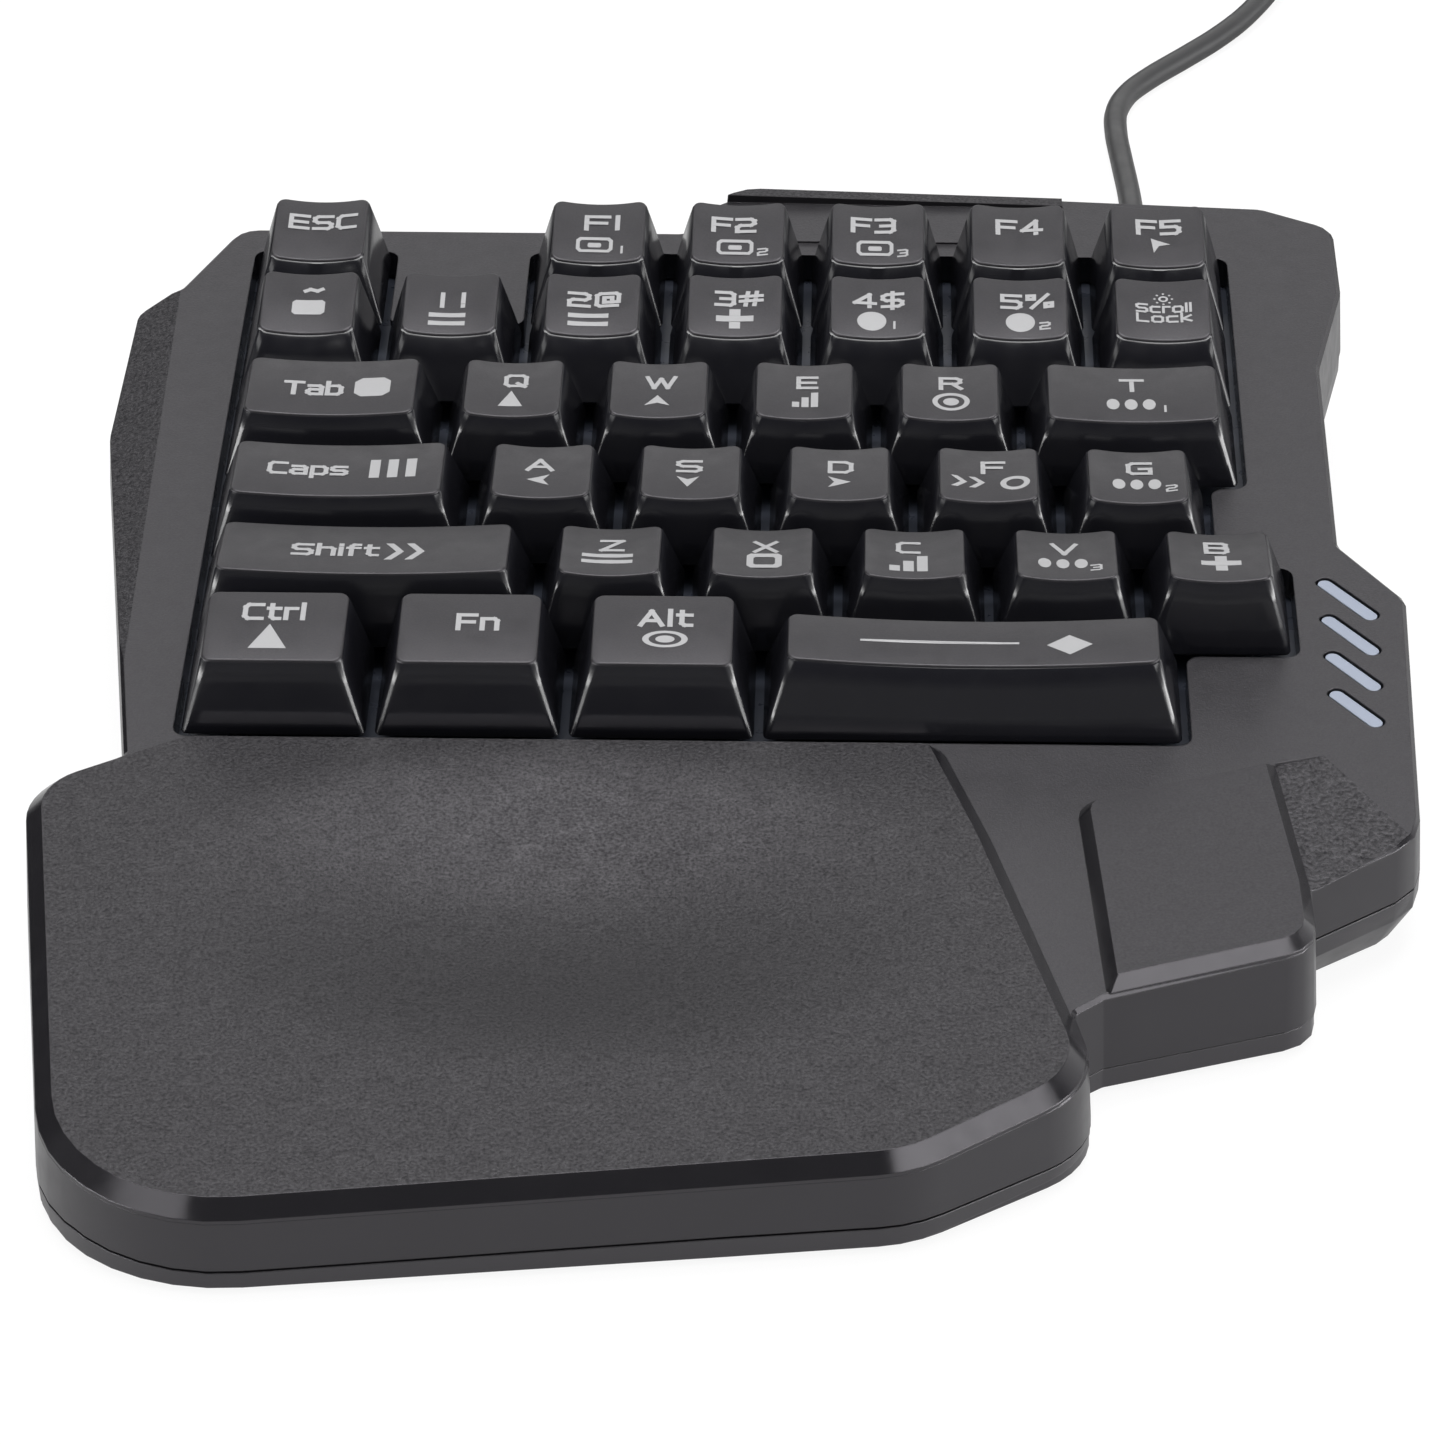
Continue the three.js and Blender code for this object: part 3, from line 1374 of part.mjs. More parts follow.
function makePlugBody() {
  const start = PART_GAP;
  const body = loft([
    plugSection(start, PLUG_REAR_INSET),
    plugSection(start + PLUG_TAPER_LENGTH, 0),
    plugSection(start + PLUG_LENGTH - EDGE_BREAK, 0),
    plugSection(start + PLUG_LENGTH, EDGE_BREAK),
  ]);
  const seat = rectangle(SHELL_WIDTH / 2 + PART_GAP, SHELL_THICKNESS / 2 + PART_GAP, 0);
  const floor = start + PLUG_LENGTH - SHELL_SEAT;
  return body.subtract(prism(rounded(seat), floor, start + PLUG_LENGTH + OVERRUN));
}

const SHELL_START = PART_GAP + PLUG_LENGTH - SHELL_SEAT + PART_GAP;

function makePlugShell() {
  const end = SHELL_START + SHELL_SEAT + SHELL_LENGTH;
  const tube = (inset) => rounded(rectangle(SHELL_WIDTH / 2 - inset, SHELL_THICKNESS / 2 - inset, 0));
  const bore = prism(tube(SHELL_WALL), SHELL_START - OVERRUN, end + OVERRUN);
  return prism(tube(0), SHELL_START, end).subtract(bore);
}

function makePlugTongue() {
  const end = SHELL_START + SHELL_SEAT + SHELL_LENGTH - PART_GAP;
  const room = SHELL_WALL + PART_GAP;
  const low = -SHELL_THICKNESS / 2 + room;
  const half = SHELL_WIDTH / 2 - room;
  return block(
    new THREE.Vector3(-half, low, SHELL_START),
    new THREE.Vector3(half, low + TONGUE_THICKNESS, end),
  );
}

// Scene graph

function mesh(name, finish, made) {
  const node = new THREE.Mesh(geometryOf(made), new THREE.MeshStandardMaterial(FINISHES[finish]));
  node.name = name;
  return node;
}

const deck = new THREE.Group();
deck.rotation.x = CASE_TILT;
deck.position.z = DESK_DROP;
deck.add(mesh("top_case", "shell", makeTopCase()));
deck.add(mesh("bottom_case", "base", makeBottomCase()));
deck.add(mesh("key_plate", "plate", makeKeyPlate()));
deck.add(mesh("rubber_dome_sheet", "domes", makeDomeSheet()));
deck.add(mesh("membrane_circuit", "film", makeMembrane()));
deck.add(mesh("backing_plate", "steel", makeBackingPlate()));
deck.add(mesh("controller_board", "board", makeControllerBoard()));
deck.add(mesh("light_guide", "lens", makeLightGuide()));
deck.add(mesh("light_board", "board", makeLightBoard()));
keyShares.forEach((key) => deck.add(mesh(`keycap_${key[0]}`, "keycap", makeKeycap(key))));
screwPlaces.forEach((place) => deck.add(mesh(place.name, "steel", makeScrew(place))));

// Feet and lead are drawn level, with heights above the desk.
const desk = new THREE.Group();
for (const name of Object.keys(footShares)) {
  const foot = mesh(name, "rubber", footSolid(name, 0, 0, FOOT_THICKNESS));
  foot.position.z = DESK_DROP;
  desk.add(foot);
}
const coil = coilPath();
desk.add(mesh("cord_strain_relief", "rubber", makeStrainRelief()));
desk.add(mesh("cord_run", "cord", makeCordRun()));
desk.add(mesh("cord_coil", "cord", sweep(coil, CORD_RADIUS, COIL_SIDES)));
desk.add(mesh("cord_tie", "rubber", makeTie()));

const plug = new THREE.Group();
plug.position.copy(coil.at(-1));
plug.quaternion.setFromRotationMatrix(
  new THREE.Matrix4().makeBasis(
    endHeading.clone().cross(new THREE.Vector3(0, 0, 1)).negate(),
    new THREE.Vector3(0, 0, 1),
    endHeading,
  ),
);
plug.add(mesh("usb_plug_body", "rubber", makePlugBody()));
plug.add(mesh("usb_plug_shell", "steel", makePlugShell()));
plug.add(mesh("usb_plug_tongue", "plate", makePlugTongue()));
desk.add(plug);

// The origin lies on the desk under the middle of the case.
const keypad = new THREE.Group();
keypad.add(deck, desk);
keypad.updateMatrixWorld(true);
const body = new THREE.Box3();
deck.children.forEach((node) => body.expandByObject(node, true));
keypad.position.set(-(body.min.x + body.max.x) / 2, -(body.min.y + body.max.y) / 2, 0);

const cordLength = pathLength(new THREE.CatmullRomCurve3(route).getPoints(200)) + pathLength(coil);
console.log(`lead ${cordLength.toFixed(0)} mm, least gap in the coil ${leastGap(coil).toFixed(2)} mm`);

export default keypad;
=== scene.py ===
import math

import bmesh
import bpy
from mathutils import Matrix, Vector
from mathutils.geometry import delaunay_2d_cdt


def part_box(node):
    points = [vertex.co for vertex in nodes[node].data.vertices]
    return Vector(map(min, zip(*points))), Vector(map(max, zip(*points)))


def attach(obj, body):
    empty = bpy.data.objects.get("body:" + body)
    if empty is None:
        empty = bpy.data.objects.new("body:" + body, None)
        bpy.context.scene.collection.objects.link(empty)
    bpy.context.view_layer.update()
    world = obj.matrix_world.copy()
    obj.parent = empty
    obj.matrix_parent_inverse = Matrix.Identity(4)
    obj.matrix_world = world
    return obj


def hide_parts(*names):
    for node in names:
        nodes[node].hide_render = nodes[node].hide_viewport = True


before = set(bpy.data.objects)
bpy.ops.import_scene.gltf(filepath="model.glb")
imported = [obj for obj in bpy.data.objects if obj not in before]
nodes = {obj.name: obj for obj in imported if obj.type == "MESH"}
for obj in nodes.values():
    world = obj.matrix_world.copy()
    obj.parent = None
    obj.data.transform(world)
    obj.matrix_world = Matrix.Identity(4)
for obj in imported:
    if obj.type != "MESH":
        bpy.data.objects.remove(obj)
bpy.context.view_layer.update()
scene = bpy.context.scene

# A one-handed gaming keypad in its studio. Sizes are millimetres on the deck, whose face is the
# plane z = 0 with x to the right and y to the back from the rear left corner of the key grid.
# DECK turns them into metres in the frame.

# Sizes of the key grid and the case
MM = 0.001
PITCH = 19.05
TILT = math.radians(5.3)
DESK_DROP = 29.22
GRID_DEPTH = 6 * PITCH
GRID_WIDTH = 7.25 * PITCH
PALM_LENGTH = 91.4
PALM_RISE = 1.9
DISH_DEPTH = 2.3
DISH_RIM_LIFT = 0.06
DISH_CENTRE = (0.348 * GRID_WIDTH, -GRID_DEPTH - 0.385 * PALM_LENGTH)
DISH_REACH = (0.375 * GRID_WIDTH, 0.35 * PALM_LENGTH)

# Sizes of the keycaps
SKIRT_INSET = 0.5
SKIRT_DROP = 0.4
SKIRT_ROUNDING = 0.12
SKIRT_RADIUS = 0.9
TOP_INSET = 3.25
SPACE_TOP_INSET = 3.45
TOP_RADIUS = 1.3
TOP_DISH = 0.7
SPACE_TOP_DISH = 1
KEY_HEIGHT = 9
KEY_WALL = 1.3
KEY_ROOF = 1.5
STEM_WIDTH = 4.4
STEM_FOOT = -6.2
STEM_HOLD = 0.5
GUIDE_POST_WIDTH = 2.6
GUIDE_POST_SETBACK = 8

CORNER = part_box("keycap_esc")
DECK = (
    Matrix.Translation((
        CORNER[0].x - SKIRT_INSET * MM,
        CORNER[1].y + (SKIRT_INSET * math.cos(TILT) - SKIRT_DROP * math.sin(TILT)) * MM,
        DESK_DROP * MM,
    ))
    @ Matrix.Rotation(TILT, 4, "X")
    @ Matrix.Scale(MM, 4)
)
TO_DECK = DECK.inverted()
DISH_PLACE = DECK @ Vector((*DISH_CENTRE, 0))
# The dish is shaded as if it were this deep, because soft light hardly shows its own form
DISH_SHADE_DEPTH = 4.8


# Camera

CAMERA_PLACE = Vector((82.924, -685.881, 412.574))
CAMERA_AIM = Vector((66.984, -110.776, 0))
CAMERA_ROLL = math.radians(-0.345)
FOCAL_PIXELS = 5766.1
PHOTO_PIXELS = 1445
SENSOR = 36
NEAREST_SEEN = 0.01


def make_camera():
    """The photograph's camera, solved from the corners of the key grid."""
    forward = (CAMERA_AIM - CAMERA_PLACE).normalized()
    level = forward.cross(Vector((0, 0, 1))).normalized()
    above = level.cross(forward)
    right = level * math.cos(CAMERA_ROLL) + above * math.sin(CAMERA_ROLL)
    up = right.cross(forward)
    turn = Matrix((right, up, -forward)).transposed()
    data = bpy.data.cameras.new("camera")
    data.sensor_width = SENSOR
    data.lens = SENSOR * FOCAL_PIXELS / PHOTO_PIXELS
    data.clip_start = NEAREST_SEEN
    camera = bpy.data.objects.new("camera", data)
    scene.collection.objects.link(camera)
    tilt = Matrix.Rotation(TILT, 3, "X")
    camera.matrix_world = Matrix.Translation(DECK @ CAMERA_PLACE) @ (tilt @ turn).to_4x4()
    scene.camera = camera


make_camera()


# Materials


PATCH_SIZE = 14
GLOSS_SIZE = 3
EDGE_SAMPLES = 6
# A reach so long that places along it all count as the middle
FAR = 1000


def socket(shader, name, value):
    shader.inputs[name].default_value = value


def feed(tree, value, target):
    """Links a socket to the input, or sets a plain value on it."""
    if isinstance(value, bpy.types.NodeSocket):
        tree.links.new(value, target)
    else:
        target.default_value = value


def calculated(tree, operation, *values, kind="Math", output="Value"):
    """The result of a Math or VectorMath node for sockets or plain values."""
    node = tree.nodes.new(f"ShaderNode{kind}")
    node.operation = operation
    for value, target in zip(values, node.inputs):
        feed(tree, value, target)
    return node.outputs[output]


def length_of(tree, vector):
    return calculated(tree, "LENGTH", vector, kind="VectorMath")


def chosen(tree, share, first, second):
    """The first value where the share is 0, and the second where it is 1."""
    node = tree.nodes.new("ShaderNodeMix")
    for name, value in (("Factor", share), ("A", first), ("B", second)):
        feed(tree, value, node.inputs[name])
    return node.outputs["Result"]


def noise(tree, place, size_mm, detail, rough=0.5):
    """A noise texture with features of about this size in millimetres."""
    node = tree.nodes.new("ShaderNodeTexNoise")
    node.inputs["Scale"].default_value = 1 / (size_mm * MM)
    node.inputs["Detail"].default_value = detail
    node.inputs["Roughness"].default_value = rough
    tree.links.new(place, node.inputs["Vector"])
    return node.outputs["Fac"]


def ranged(tree, value, low, high, start=0.3, end=0.7):
    """Runs from low to high while the value runs from start to end."""
    node = tree.nodes.new("ShaderNodeMapRange")
    node.inputs["From Min"].default_value = start
    node.inputs["From Max"].default_value = end
    node.inputs["To Min"].default_value = low
    node.inputs["To Max"].default_value = high
    tree.links.new(value, node.inputs["Value"])
    return node.outputs["Result"]


def blended(tree, share, first, second):
    """A colour between two, by the share."""
    node = tree.nodes.new("ShaderNodeMix")
    node.data_type = "RGBA"
    node.inputs["A"].default_value = (*first, 1)
    node.inputs["B"].default_value = (*second, 1)
    tree.links.new(share, node.inputs["Factor"])
    return node.outputs["Result"]


def bumped(tree, height, strength, depth_mm, under=None):
    node = tree.nodes.new("ShaderNodeBump")
    node.inputs["Strength"].default_value = strength
    node.inputs["Distance"].default_value = depth_mm * MM
    tree.links.new(height, node.inputs["Height"])
    if under:
        tree.links.new(under, node.inputs["Normal"])
    return node.outputs["Normal"]


def edge_rounding(tree, radius_mm):
    node = tree.nodes.new("ShaderNodeBevel")
    node.samples = EDGE_SAMPLES
    node.inputs["Radius"].default_value = radius_mm * MM
    return node.outputs["Normal"]


def bowl_normal(tree, place, centre, reach, depth_mm):
    """Deepens the look of a round dish: the normal of a bowl with this centre and reach."""
    away = calculated(tree, "SUBTRACT", place, centre, kind="VectorMath", output="Vector")
    shares = calculated(tree, "DIVIDE", away, (*reach, FAR), kind="VectorMath", output="Vector")
    turn = ranged(tree, length_of(tree, shares), 0, math.pi, 0, 1)
    wave = calculated(tree, "COSINE", turn)
    return bumped(tree, wave, 1, -depth_mm / 2)


def finish_of(
    name, colour, rough, spread=0.05, shade=0.12, grain=0.3, bump=0.3, depth=0.02,
    metallic=0, coat=0, specular=0.5, speckle=0, edge=0, tint=None, bowl=None,
):
    """Moulded or coated surface: fine grain, patchy gloss and a slight drift of colour."""
    made = bpy.data.materials.new(name)
    made.use_nodes = True
    tree = made.node_tree
    shader = tree.nodes["Principled BSDF"]
    place = tree.nodes.new("ShaderNodeTexCoord").outputs["Object"]
    dark = [c * (1 - shade) for c in colour]
    light = [c * (1 + shade) for c in colour]
    patches = noise(tree, place, PATCH_SIZE, 4)
    tree.links.new(blended(tree, patches, dark, light), shader.inputs["Base Color"])
    gloss = noise(tree, place, GLOSS_SIZE, 5)
    tree.links.new(ranged(tree, gloss, rough - spread, rough + spread), shader.inputs["Roughness"])
    under = edge_rounding(tree, edge) if edge else None
    if bowl:
        under = bowl_normal(tree, place, *bowl)
    fine = noise(tree, place, grain, 3, 0.6)
    tree.links.new(bumped(tree, fine, bump, depth, under), shader.inputs["Normal"])
    socket(shader, "Metallic", metallic)
    socket(shader, "Coat Weight", coat)
    socket(shader, "Specular IOR Level", specular)
    if speckle:
        low, high = specular * (1 - speckle), specular * (1 + speckle)
        tree.links.new(ranged(tree, fine, low, high), shader.inputs["Specular IOR Level"])
    if tint:
        socket(shader, "Specular Tint", (*tint, 1))
    return made


BLACK = (0.0085, 0.0082, 0.0094)
PALM_BLACK = (0.006, 0.0058, 0.0066)
GLOSSY_BLACK = (0.0065, 0.0065, 0.0085)
WARM = (1, 0.965, 1.025)

deck_finish = finish_of(
    "deck_plastic", BLACK, 0.46, grain=0.3, bump=0.8, depth=0.05, speckle=0.16, edge=0.3,
    tint=WARM,
)
palm_finish = finish_of(
    "palm_plastic", PALM_BLACK, 0.55, grain=0.4, bump=1, depth=0.09, specular=0.39, speckle=0.55,
    tint=WARM, bowl=(DISH_PLACE, [reach * MM for reach in DISH_REACH], DISH_SHADE_DEPTH),
)
thumb_finish = finish_of(
    "thumb_plastic", BLACK, 0.5, grain=0.35, bump=0.6, depth=0.04, specular=0.42, speckle=0.2,
    tint=WARM,
)
facet_finish = finish_of(
    "facet_plastic", BLACK, 0.5, grain=0.55, bump=1, depth=0.2, specular=0.38, speckle=0.8,
    edge=0.25, tint=WARM,
)
edge_finish = finish_of(
    "edge_plastic", BLACK, 0.15, spread=0.03, grain=0.6, bump=0.1, depth=0.01, edge=0.2,
    tint=WARM,
)
wall_finish = finish_of(
    "wall_plastic", BLACK, 0.34, spread=0.04, grain=0.3, bump=0.3, depth=0.012, specular=0.6,
    edge=0.3, tint=WARM,
)
well_finish = finish_of(
    "well_plastic", GLOSSY_BLACK, 0.25, spread=0.04, grain=0.5, bump=0.15, depth=0.01,
)
base_finish = finish_of(
    "base_plastic", BLACK, 0.36, spread=0.04, grain=0.35, bump=0.3, depth=0.012, specular=0.75,
    edge=0.25, tint=WARM,
)
cap_top_finish = finish_of(
    "cap_top_plastic", BLACK, 0.42, grain=0.22, bump=0.4, depth=0.03, specular=0.45,
    speckle=0.12, tint=WARM,
)
cap_wall_finish = finish_of(
    "cap_wall_plastic", GLOSSY_BLACK, 0.2, grain=0.5, bump=0.12, depth=0.008,
)
legend_finish = finish_of(
    "legend_print", (0.25, 0.25, 0.255), 0.5, shade=0.04, grain=0.2, bump=0.1,
)
plate_finish = finish_of(
    "plate_plastic", (0.03, 0.034, 0.046), 0.3, grain=0.5, bump=0.2, depth=0.01,
)
dome_finish = finish_of("dome_rubber", (0.55, 0.58, 0.6), 0.6, grain=0.4, bump=0.2)
film_finish = finish_of("film", (0.5, 0.56, 0.6), 0.25, grain=1.2, bump=0.1, coat=0.3)
steel_finish = finish_of("plain_steel", (0.5, 0.5, 0.52), 0.32, grain=0.25, bump=0.2, metallic=1)
nickel_finish = finish_of("nickel_shell", (0.62, 0.61, 0.6), 0.24, grain=0.3, bump=0.1, metallic=1)
board_finish = finish_of("solder_mask", (0.02, 0.1, 0.045), 0.3, grain=0.4, bump=0.15, coat=0.4)
lens_finish = finish_of("frosted_lens", (0.2, 0.225, 0.28), 0.45, shade=0.06, grain=0.4, bump=0.15)
rubber_finish = finish_of("black_rubber", (0.012, 0.012, 0.013), 0.6, grain=0.25, bump=0.4)
cord_finish = finish_of("cord_sheath", (0.02, 0.02, 0.021), 0.42, grain=0.6, bump=0.15)


# Building pieces


def piece_of(name, mesh, materials, body, slot, *replaced):
    """A piece with these materials that rides on the body, in the place of the replaced nodes."""
    for made in materials:
        mesh.materials.append(made)
    piece = bpy.data.objects.new(name, mesh)
    scene.collection.objects.link(piece)
    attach(piece, body)
    if replaced:
        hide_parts(*replaced)
    return piece


def mesh_from(name, bm, matrix=DECK):
    """A mesh from the shape, moved from the deck into the frame."""
    bm.transform(matrix)
    bmesh.ops.recalc_face_normals(bm, faces=bm.faces)
    mesh = bpy.data.meshes.new(name)
    bm.to_mesh(mesh)
    bm.free()
    return mesh


# The lead

RELIEF_LENGTH = 0.014
CORD_DIAMETER = 0.0036
CORD_GAP = 0.0003
ROUTE = [
    (0, 0.0143, 0.008),
    (0, 0.0195, 0.0078),
    (0, 0.026, 0.0064),
    (0, 0.034, 0.004),
    (0, 0.043, 0.0024),
    (0, 0.053, 0.0019),
    (-0.0003, 0.065, 0.0018),
    (-0.001, 0.077, 0.0018),
    (-0.0015, 0.087, 0.0018),
    (-0.0012, 0.095, 0.0018),
    (0.0008, 0.102, 0.0018),
    (0.0046, 0.1085, 0.0018),
    (0.0108, 0.117, 0.0018),
    (0.0156, 0.1236, 0.0019),
    (0.0203, 0.131, 0.0022),
    (0.0242, 0.139, 0.0026),
    (0.0274, 0.148, 0.0028),
    (0.0298, 0.157, 0.0028),
    (0.0316, 0.165, 0.0028),
]
ROUTE_STEPS = 8
COIL_TURNS = 9.25
COIL_MIDDLE_RADIUS = 0.0216
COIL_PITCH = 0.00415
COIL_LIFT = 0.001
COIL_STEPS = 48
COIL_LEAD = 0.03
CLIMB_TURNS = 0.5
LEAD_POINTS = 18
SINK_START = 0.45
PLUG_THICKNESS = 0.008

relief_low, relief_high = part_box("cord_strain_relief")
lead_start = Vector(((relief_low.x + relief_high.x) / 2, relief_high.y - RELIEF_LENGTH, 0))


def spline_through(points, steps):
    """A centripetal spline through the points, as many steps from each to the next."""
    ends = [2 * points[0] - points[1], *points, 2 * points[-1] - points[-2]]
    line = [points[0]]
    for a, b, c, d in zip(ends, ends[1:], ends[2:], ends[3:]):
        before, here, after = ((q - p).length ** 0.5 for p, q in ((a, b), (b, c), (c, d)))
        start = ((b - a) / before - (c - a) / (before + here) + (c - b) / here) * here
        end = ((c - b) / here - (d - b) / (here + after) + (d - c) / after) * here
        for i in range(1, steps + 1):
            t = i / steps
            line.append(
                b * (2 * t**3 - 3 * t**2 + 1)
                + start * (t**3 - 2 * t**2 + t)
                + c * (3 * t**2 - 2 * t**3)
                + end * (t**3 - t**2)
            )
    return line


def eased(share):
    share = min(max(share, 0), 1)
    return share * share * (3 - 2 * share)


def coil_from(end, heading):
    """The coil from the end of the route, and the run from it to the plug."""
    left = Vector((-heading.y, heading.x, 0))
    spread = COIL_TURNS / 4 * COIL_PITCH
    start = end + heading * (CORD_GAP + CORD_DIAMETER)
    centre = start + left * (COIL_MIDDLE_RADIUS + spread)
    first = math.atan2(-left.y, -left.x)
    reversal = COIL_TURNS / 2
    line = [start - heading * CORD_DIAMETER]
    steps = round(COIL_TURNS * COIL_STEPS)
    for i in range(steps + 1):
        turns = i * COIL_TURNS / steps
        radius = COIL_MIDDLE_RADIUS - spread + abs(turns - reversal) * COIL_PITCH
        climb = min(max((turns - reversal) / CLIMB_TURNS + 0.5, 0), 1)
        angle = first + turns * math.tau
        height = CORD_DIAMETER / 2 + COIL_LIFT + climb * COIL_PITCH
        x, y = centre.x + radius * math.cos(angle), centre.y + radius * math.sin(angle)
        line.append(Vector((x, y, height)))
    last = line[-1]
    angle = first + COIL_TURNS * math.tau
    onward = Vector((-math.sin(angle), math.cos(angle), 0))
    for i in range(1, LEAD_POINTS + 1):
        share = i / LEAD_POINTS
        point = last + onward * COIL_LEAD * share
        sunk = eased((share - SINK_START) / (1 - SINK_START))
        point.z = last.z + (PLUG_THICKNESS / 2 - last.z) * sunk
        line.append(point)
    line.append(line[-1] + onward * CORD_DIAMETER)
    return line


def make_cord():
    """The lead along its route and its coil, up to the plug."""
    route = [lead_start + Vector(point) for point in ROUTE]
    line = spline_through(route, ROUTE_STEPS)
    heading = route[-1] - route[-2]
    heading.z = 0
    line += coil_from(route[-1], heading.normalized())
    curve = bpy.data.curves.new("lead", "CURVE")
    curve.dimensions = "3D"
    curve.bevel_depth = CORD_DIAMETER / 2
    curve.bevel_resolution = 5
    curve.use_fill_caps = True
    spline = curve.splines.new("POLY")
    spline.points.add(len(line) - 1)
    for point, place in zip(spline.points, line):
        point.co = (*place, 1)
    spline.use_smooth = True
    curve.materials.append(cord_finish)
    piece = bpy.data.objects.new("lead", curve)
    scene.collection.objects.link(piece)
    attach(piece, "case")
    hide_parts("cord_run", "cord_coil")
    return piece


make_cord()


# Keycaps

# Keys of each row from the left, and the widths of the wide ones in key pitches
GAP = "-"
ROWS = [
    "esc - f1 f2 f3 f4 f5",
    "tilde 1 2 3 4 5 scroll_lock",
    "tab q w e r t",
    "caps_lock a s d f g",
    "shift z x c v b",
    "ctrl fn alt space",
]
WIDTHS = {
    "tab": 1.5, "t": 1.5, "caps_lock": 1.75, "shift": 2.25, "ctrl": 1.25, "fn": 1.25,
    "alt": 1.25, "space": 2.75,
}

# Rear and front edge of each row's tops: place along the key and height, as shares
ROW_TOPS = [
    ((0.032, 1.03), (0.745, 0.889)),
    ((0.068, 1.067), (0.724, 0.878)),
    ((0.121, 0.933), (0.845, 0.967)),
    ((0.157, 0.889), (0.856, 0.978)),
    ((0.136, 0.867), (0.85, 1.089)),
    ((0.126, 1.1), (0.85, 1.011)),
]
SPACE_TOP = ((0.255, 1.02), (0.775, 1.03))
FLAT_KEYS = ("ctrl", "fn", "alt")
CORNER_STEPS = 6
EDGE_POINTS = 12
WALL_STEPS = (0, 0.02, 0.34, 0.67, 0.95)
FILLET = 0.32
FILLET_STEPS = 4
CAP_SMOOTHING = math.radians(40)


class Key:
    """Footprint of a key and the form of its top."""

    def __init__(self, name, row, left, width):
        self.name = name
        self.left = left * PITCH
        self.right = (left + width) * PITCH
        self.rear = -row * PITCH
        self.front = self.rear - PITCH
        self.long = width >= 2
        inset = SPACE_TOP_INSET if name == "space" else TOP_INSET
        self.rear_top, self.front_top = SPACE_TOP if name == "space" else ROW_TOPS[row]
        self.top_left = self.left + inset
        self.top_right = self.right - inset
        self.top_rear = self.rear - self.rear_top[0] * PITCH
        self.top_front = self.rear - self.front_top[0] * PITCH
        self.dish = SPACE_TOP_DISH if name == "space" else TOP_DISH
        if name in FLAT_KEYS:
            self.dish = 0

    def height(self, x, y):
        forward = (self.top_rear - y) / (self.top_rear - self.top_front)
        edge = (self.rear_top[1] + (self.front_top[1] - self.rear_top[1]) * forward) * KEY_HEIGHT
        out = (2 * x - self.top_left - self.top_right) / (self.top_right - self.top_left)
        return edge - self.dish * (1 - out * out)

    def place(self, across, along):
        """A place on the top from its shares from the left and from the rear."""
        x = self.top_left + across * (self.top_right - self.top_left)
        y = self.top_rear + along * (self.top_front - self.top_rear)
        return x, y


def ring(left, right, front, rear, radius):
    """Anticlockwise from the left end of the front edge, so that its halves pair across y."""

    def arc(x, y, start):
        turns = [start + i * math.pi / 2 / CORNER_STEPS for i in range(CORNER_STEPS + 1)]
        return [(x + radius * math.cos(a), y + radius * math.sin(a)) for a in turns]

    def edge(y, start, end):
        shares = [(i + 1) / (EDGE_POINTS + 1) for i in range(EDGE_POINTS)]
        return [(start + (end - start) * share, y) for share in shares]

    low, high = left + radius, right - radius
    return [
        *arc(low, front + radius, math.pi),
        *edge(front, low, high),
        *arc(high, front + radius, -math.pi / 2),
        *arc(high, rear - radius, 0),
        *edge(rear, high, low),
        *arc(low, rear - radius, math.pi / 2),
    ]


def cap_rings(key):
    """Outside of a cap: from the skirt to the rim of its top, and on to the top in its fillet."""
    rings = []

    def level(inset_share, height_share, shrink=0, drop=0):
        left = key.left + SKIRT_INSET
        right = key.right - SKIRT_INSET
        front = key.front + SKIRT_INSET
        rear = key.rear - SKIRT_INSET
        radius = SKIRT_RADIUS + (TOP_RADIUS - SKIRT_RADIUS) * inset_share - shrink / 2
        left += (key.top_left - left) * inset_share + shrink
        right += (key.top_right - right) * inset_share - shrink
        front += (key.top_front - front) * inset_share + shrink
        rear += (key.top_rear - rear) * inset_share - shrink
        made = []
        for x, y in ring(left, right, front, rear, radius):
            top = key.height(x, y) - drop
            made.append(Vector((x, y, -SKIRT_DROP + (top + SKIRT_DROP) * height_share)))
        rings.append(made)

    for step in WALL_STEPS:
        level(step, step, 0 if step else SKIRT_ROUNDING)
    for i in range(FILLET_STEPS + 1):
        angle = i / FILLET_STEPS * math.pi / 2
        level(1, 1, FILLET * (1 - math.cos(angle)), FILLET * (1 - math.sin(angle)))
    return rings


def add_box(bm, low, high):
    made = bmesh.ops.create_cube(bm, size=1)["verts"]
    middle = [(a + b) / 2 for a, b in zip(low, high)]
    size = [b - a for a, b in zip(low, high)]
    for vert in made:
        vert.co = [m + c * s for m, c, s in zip(middle, vert.co, size)]


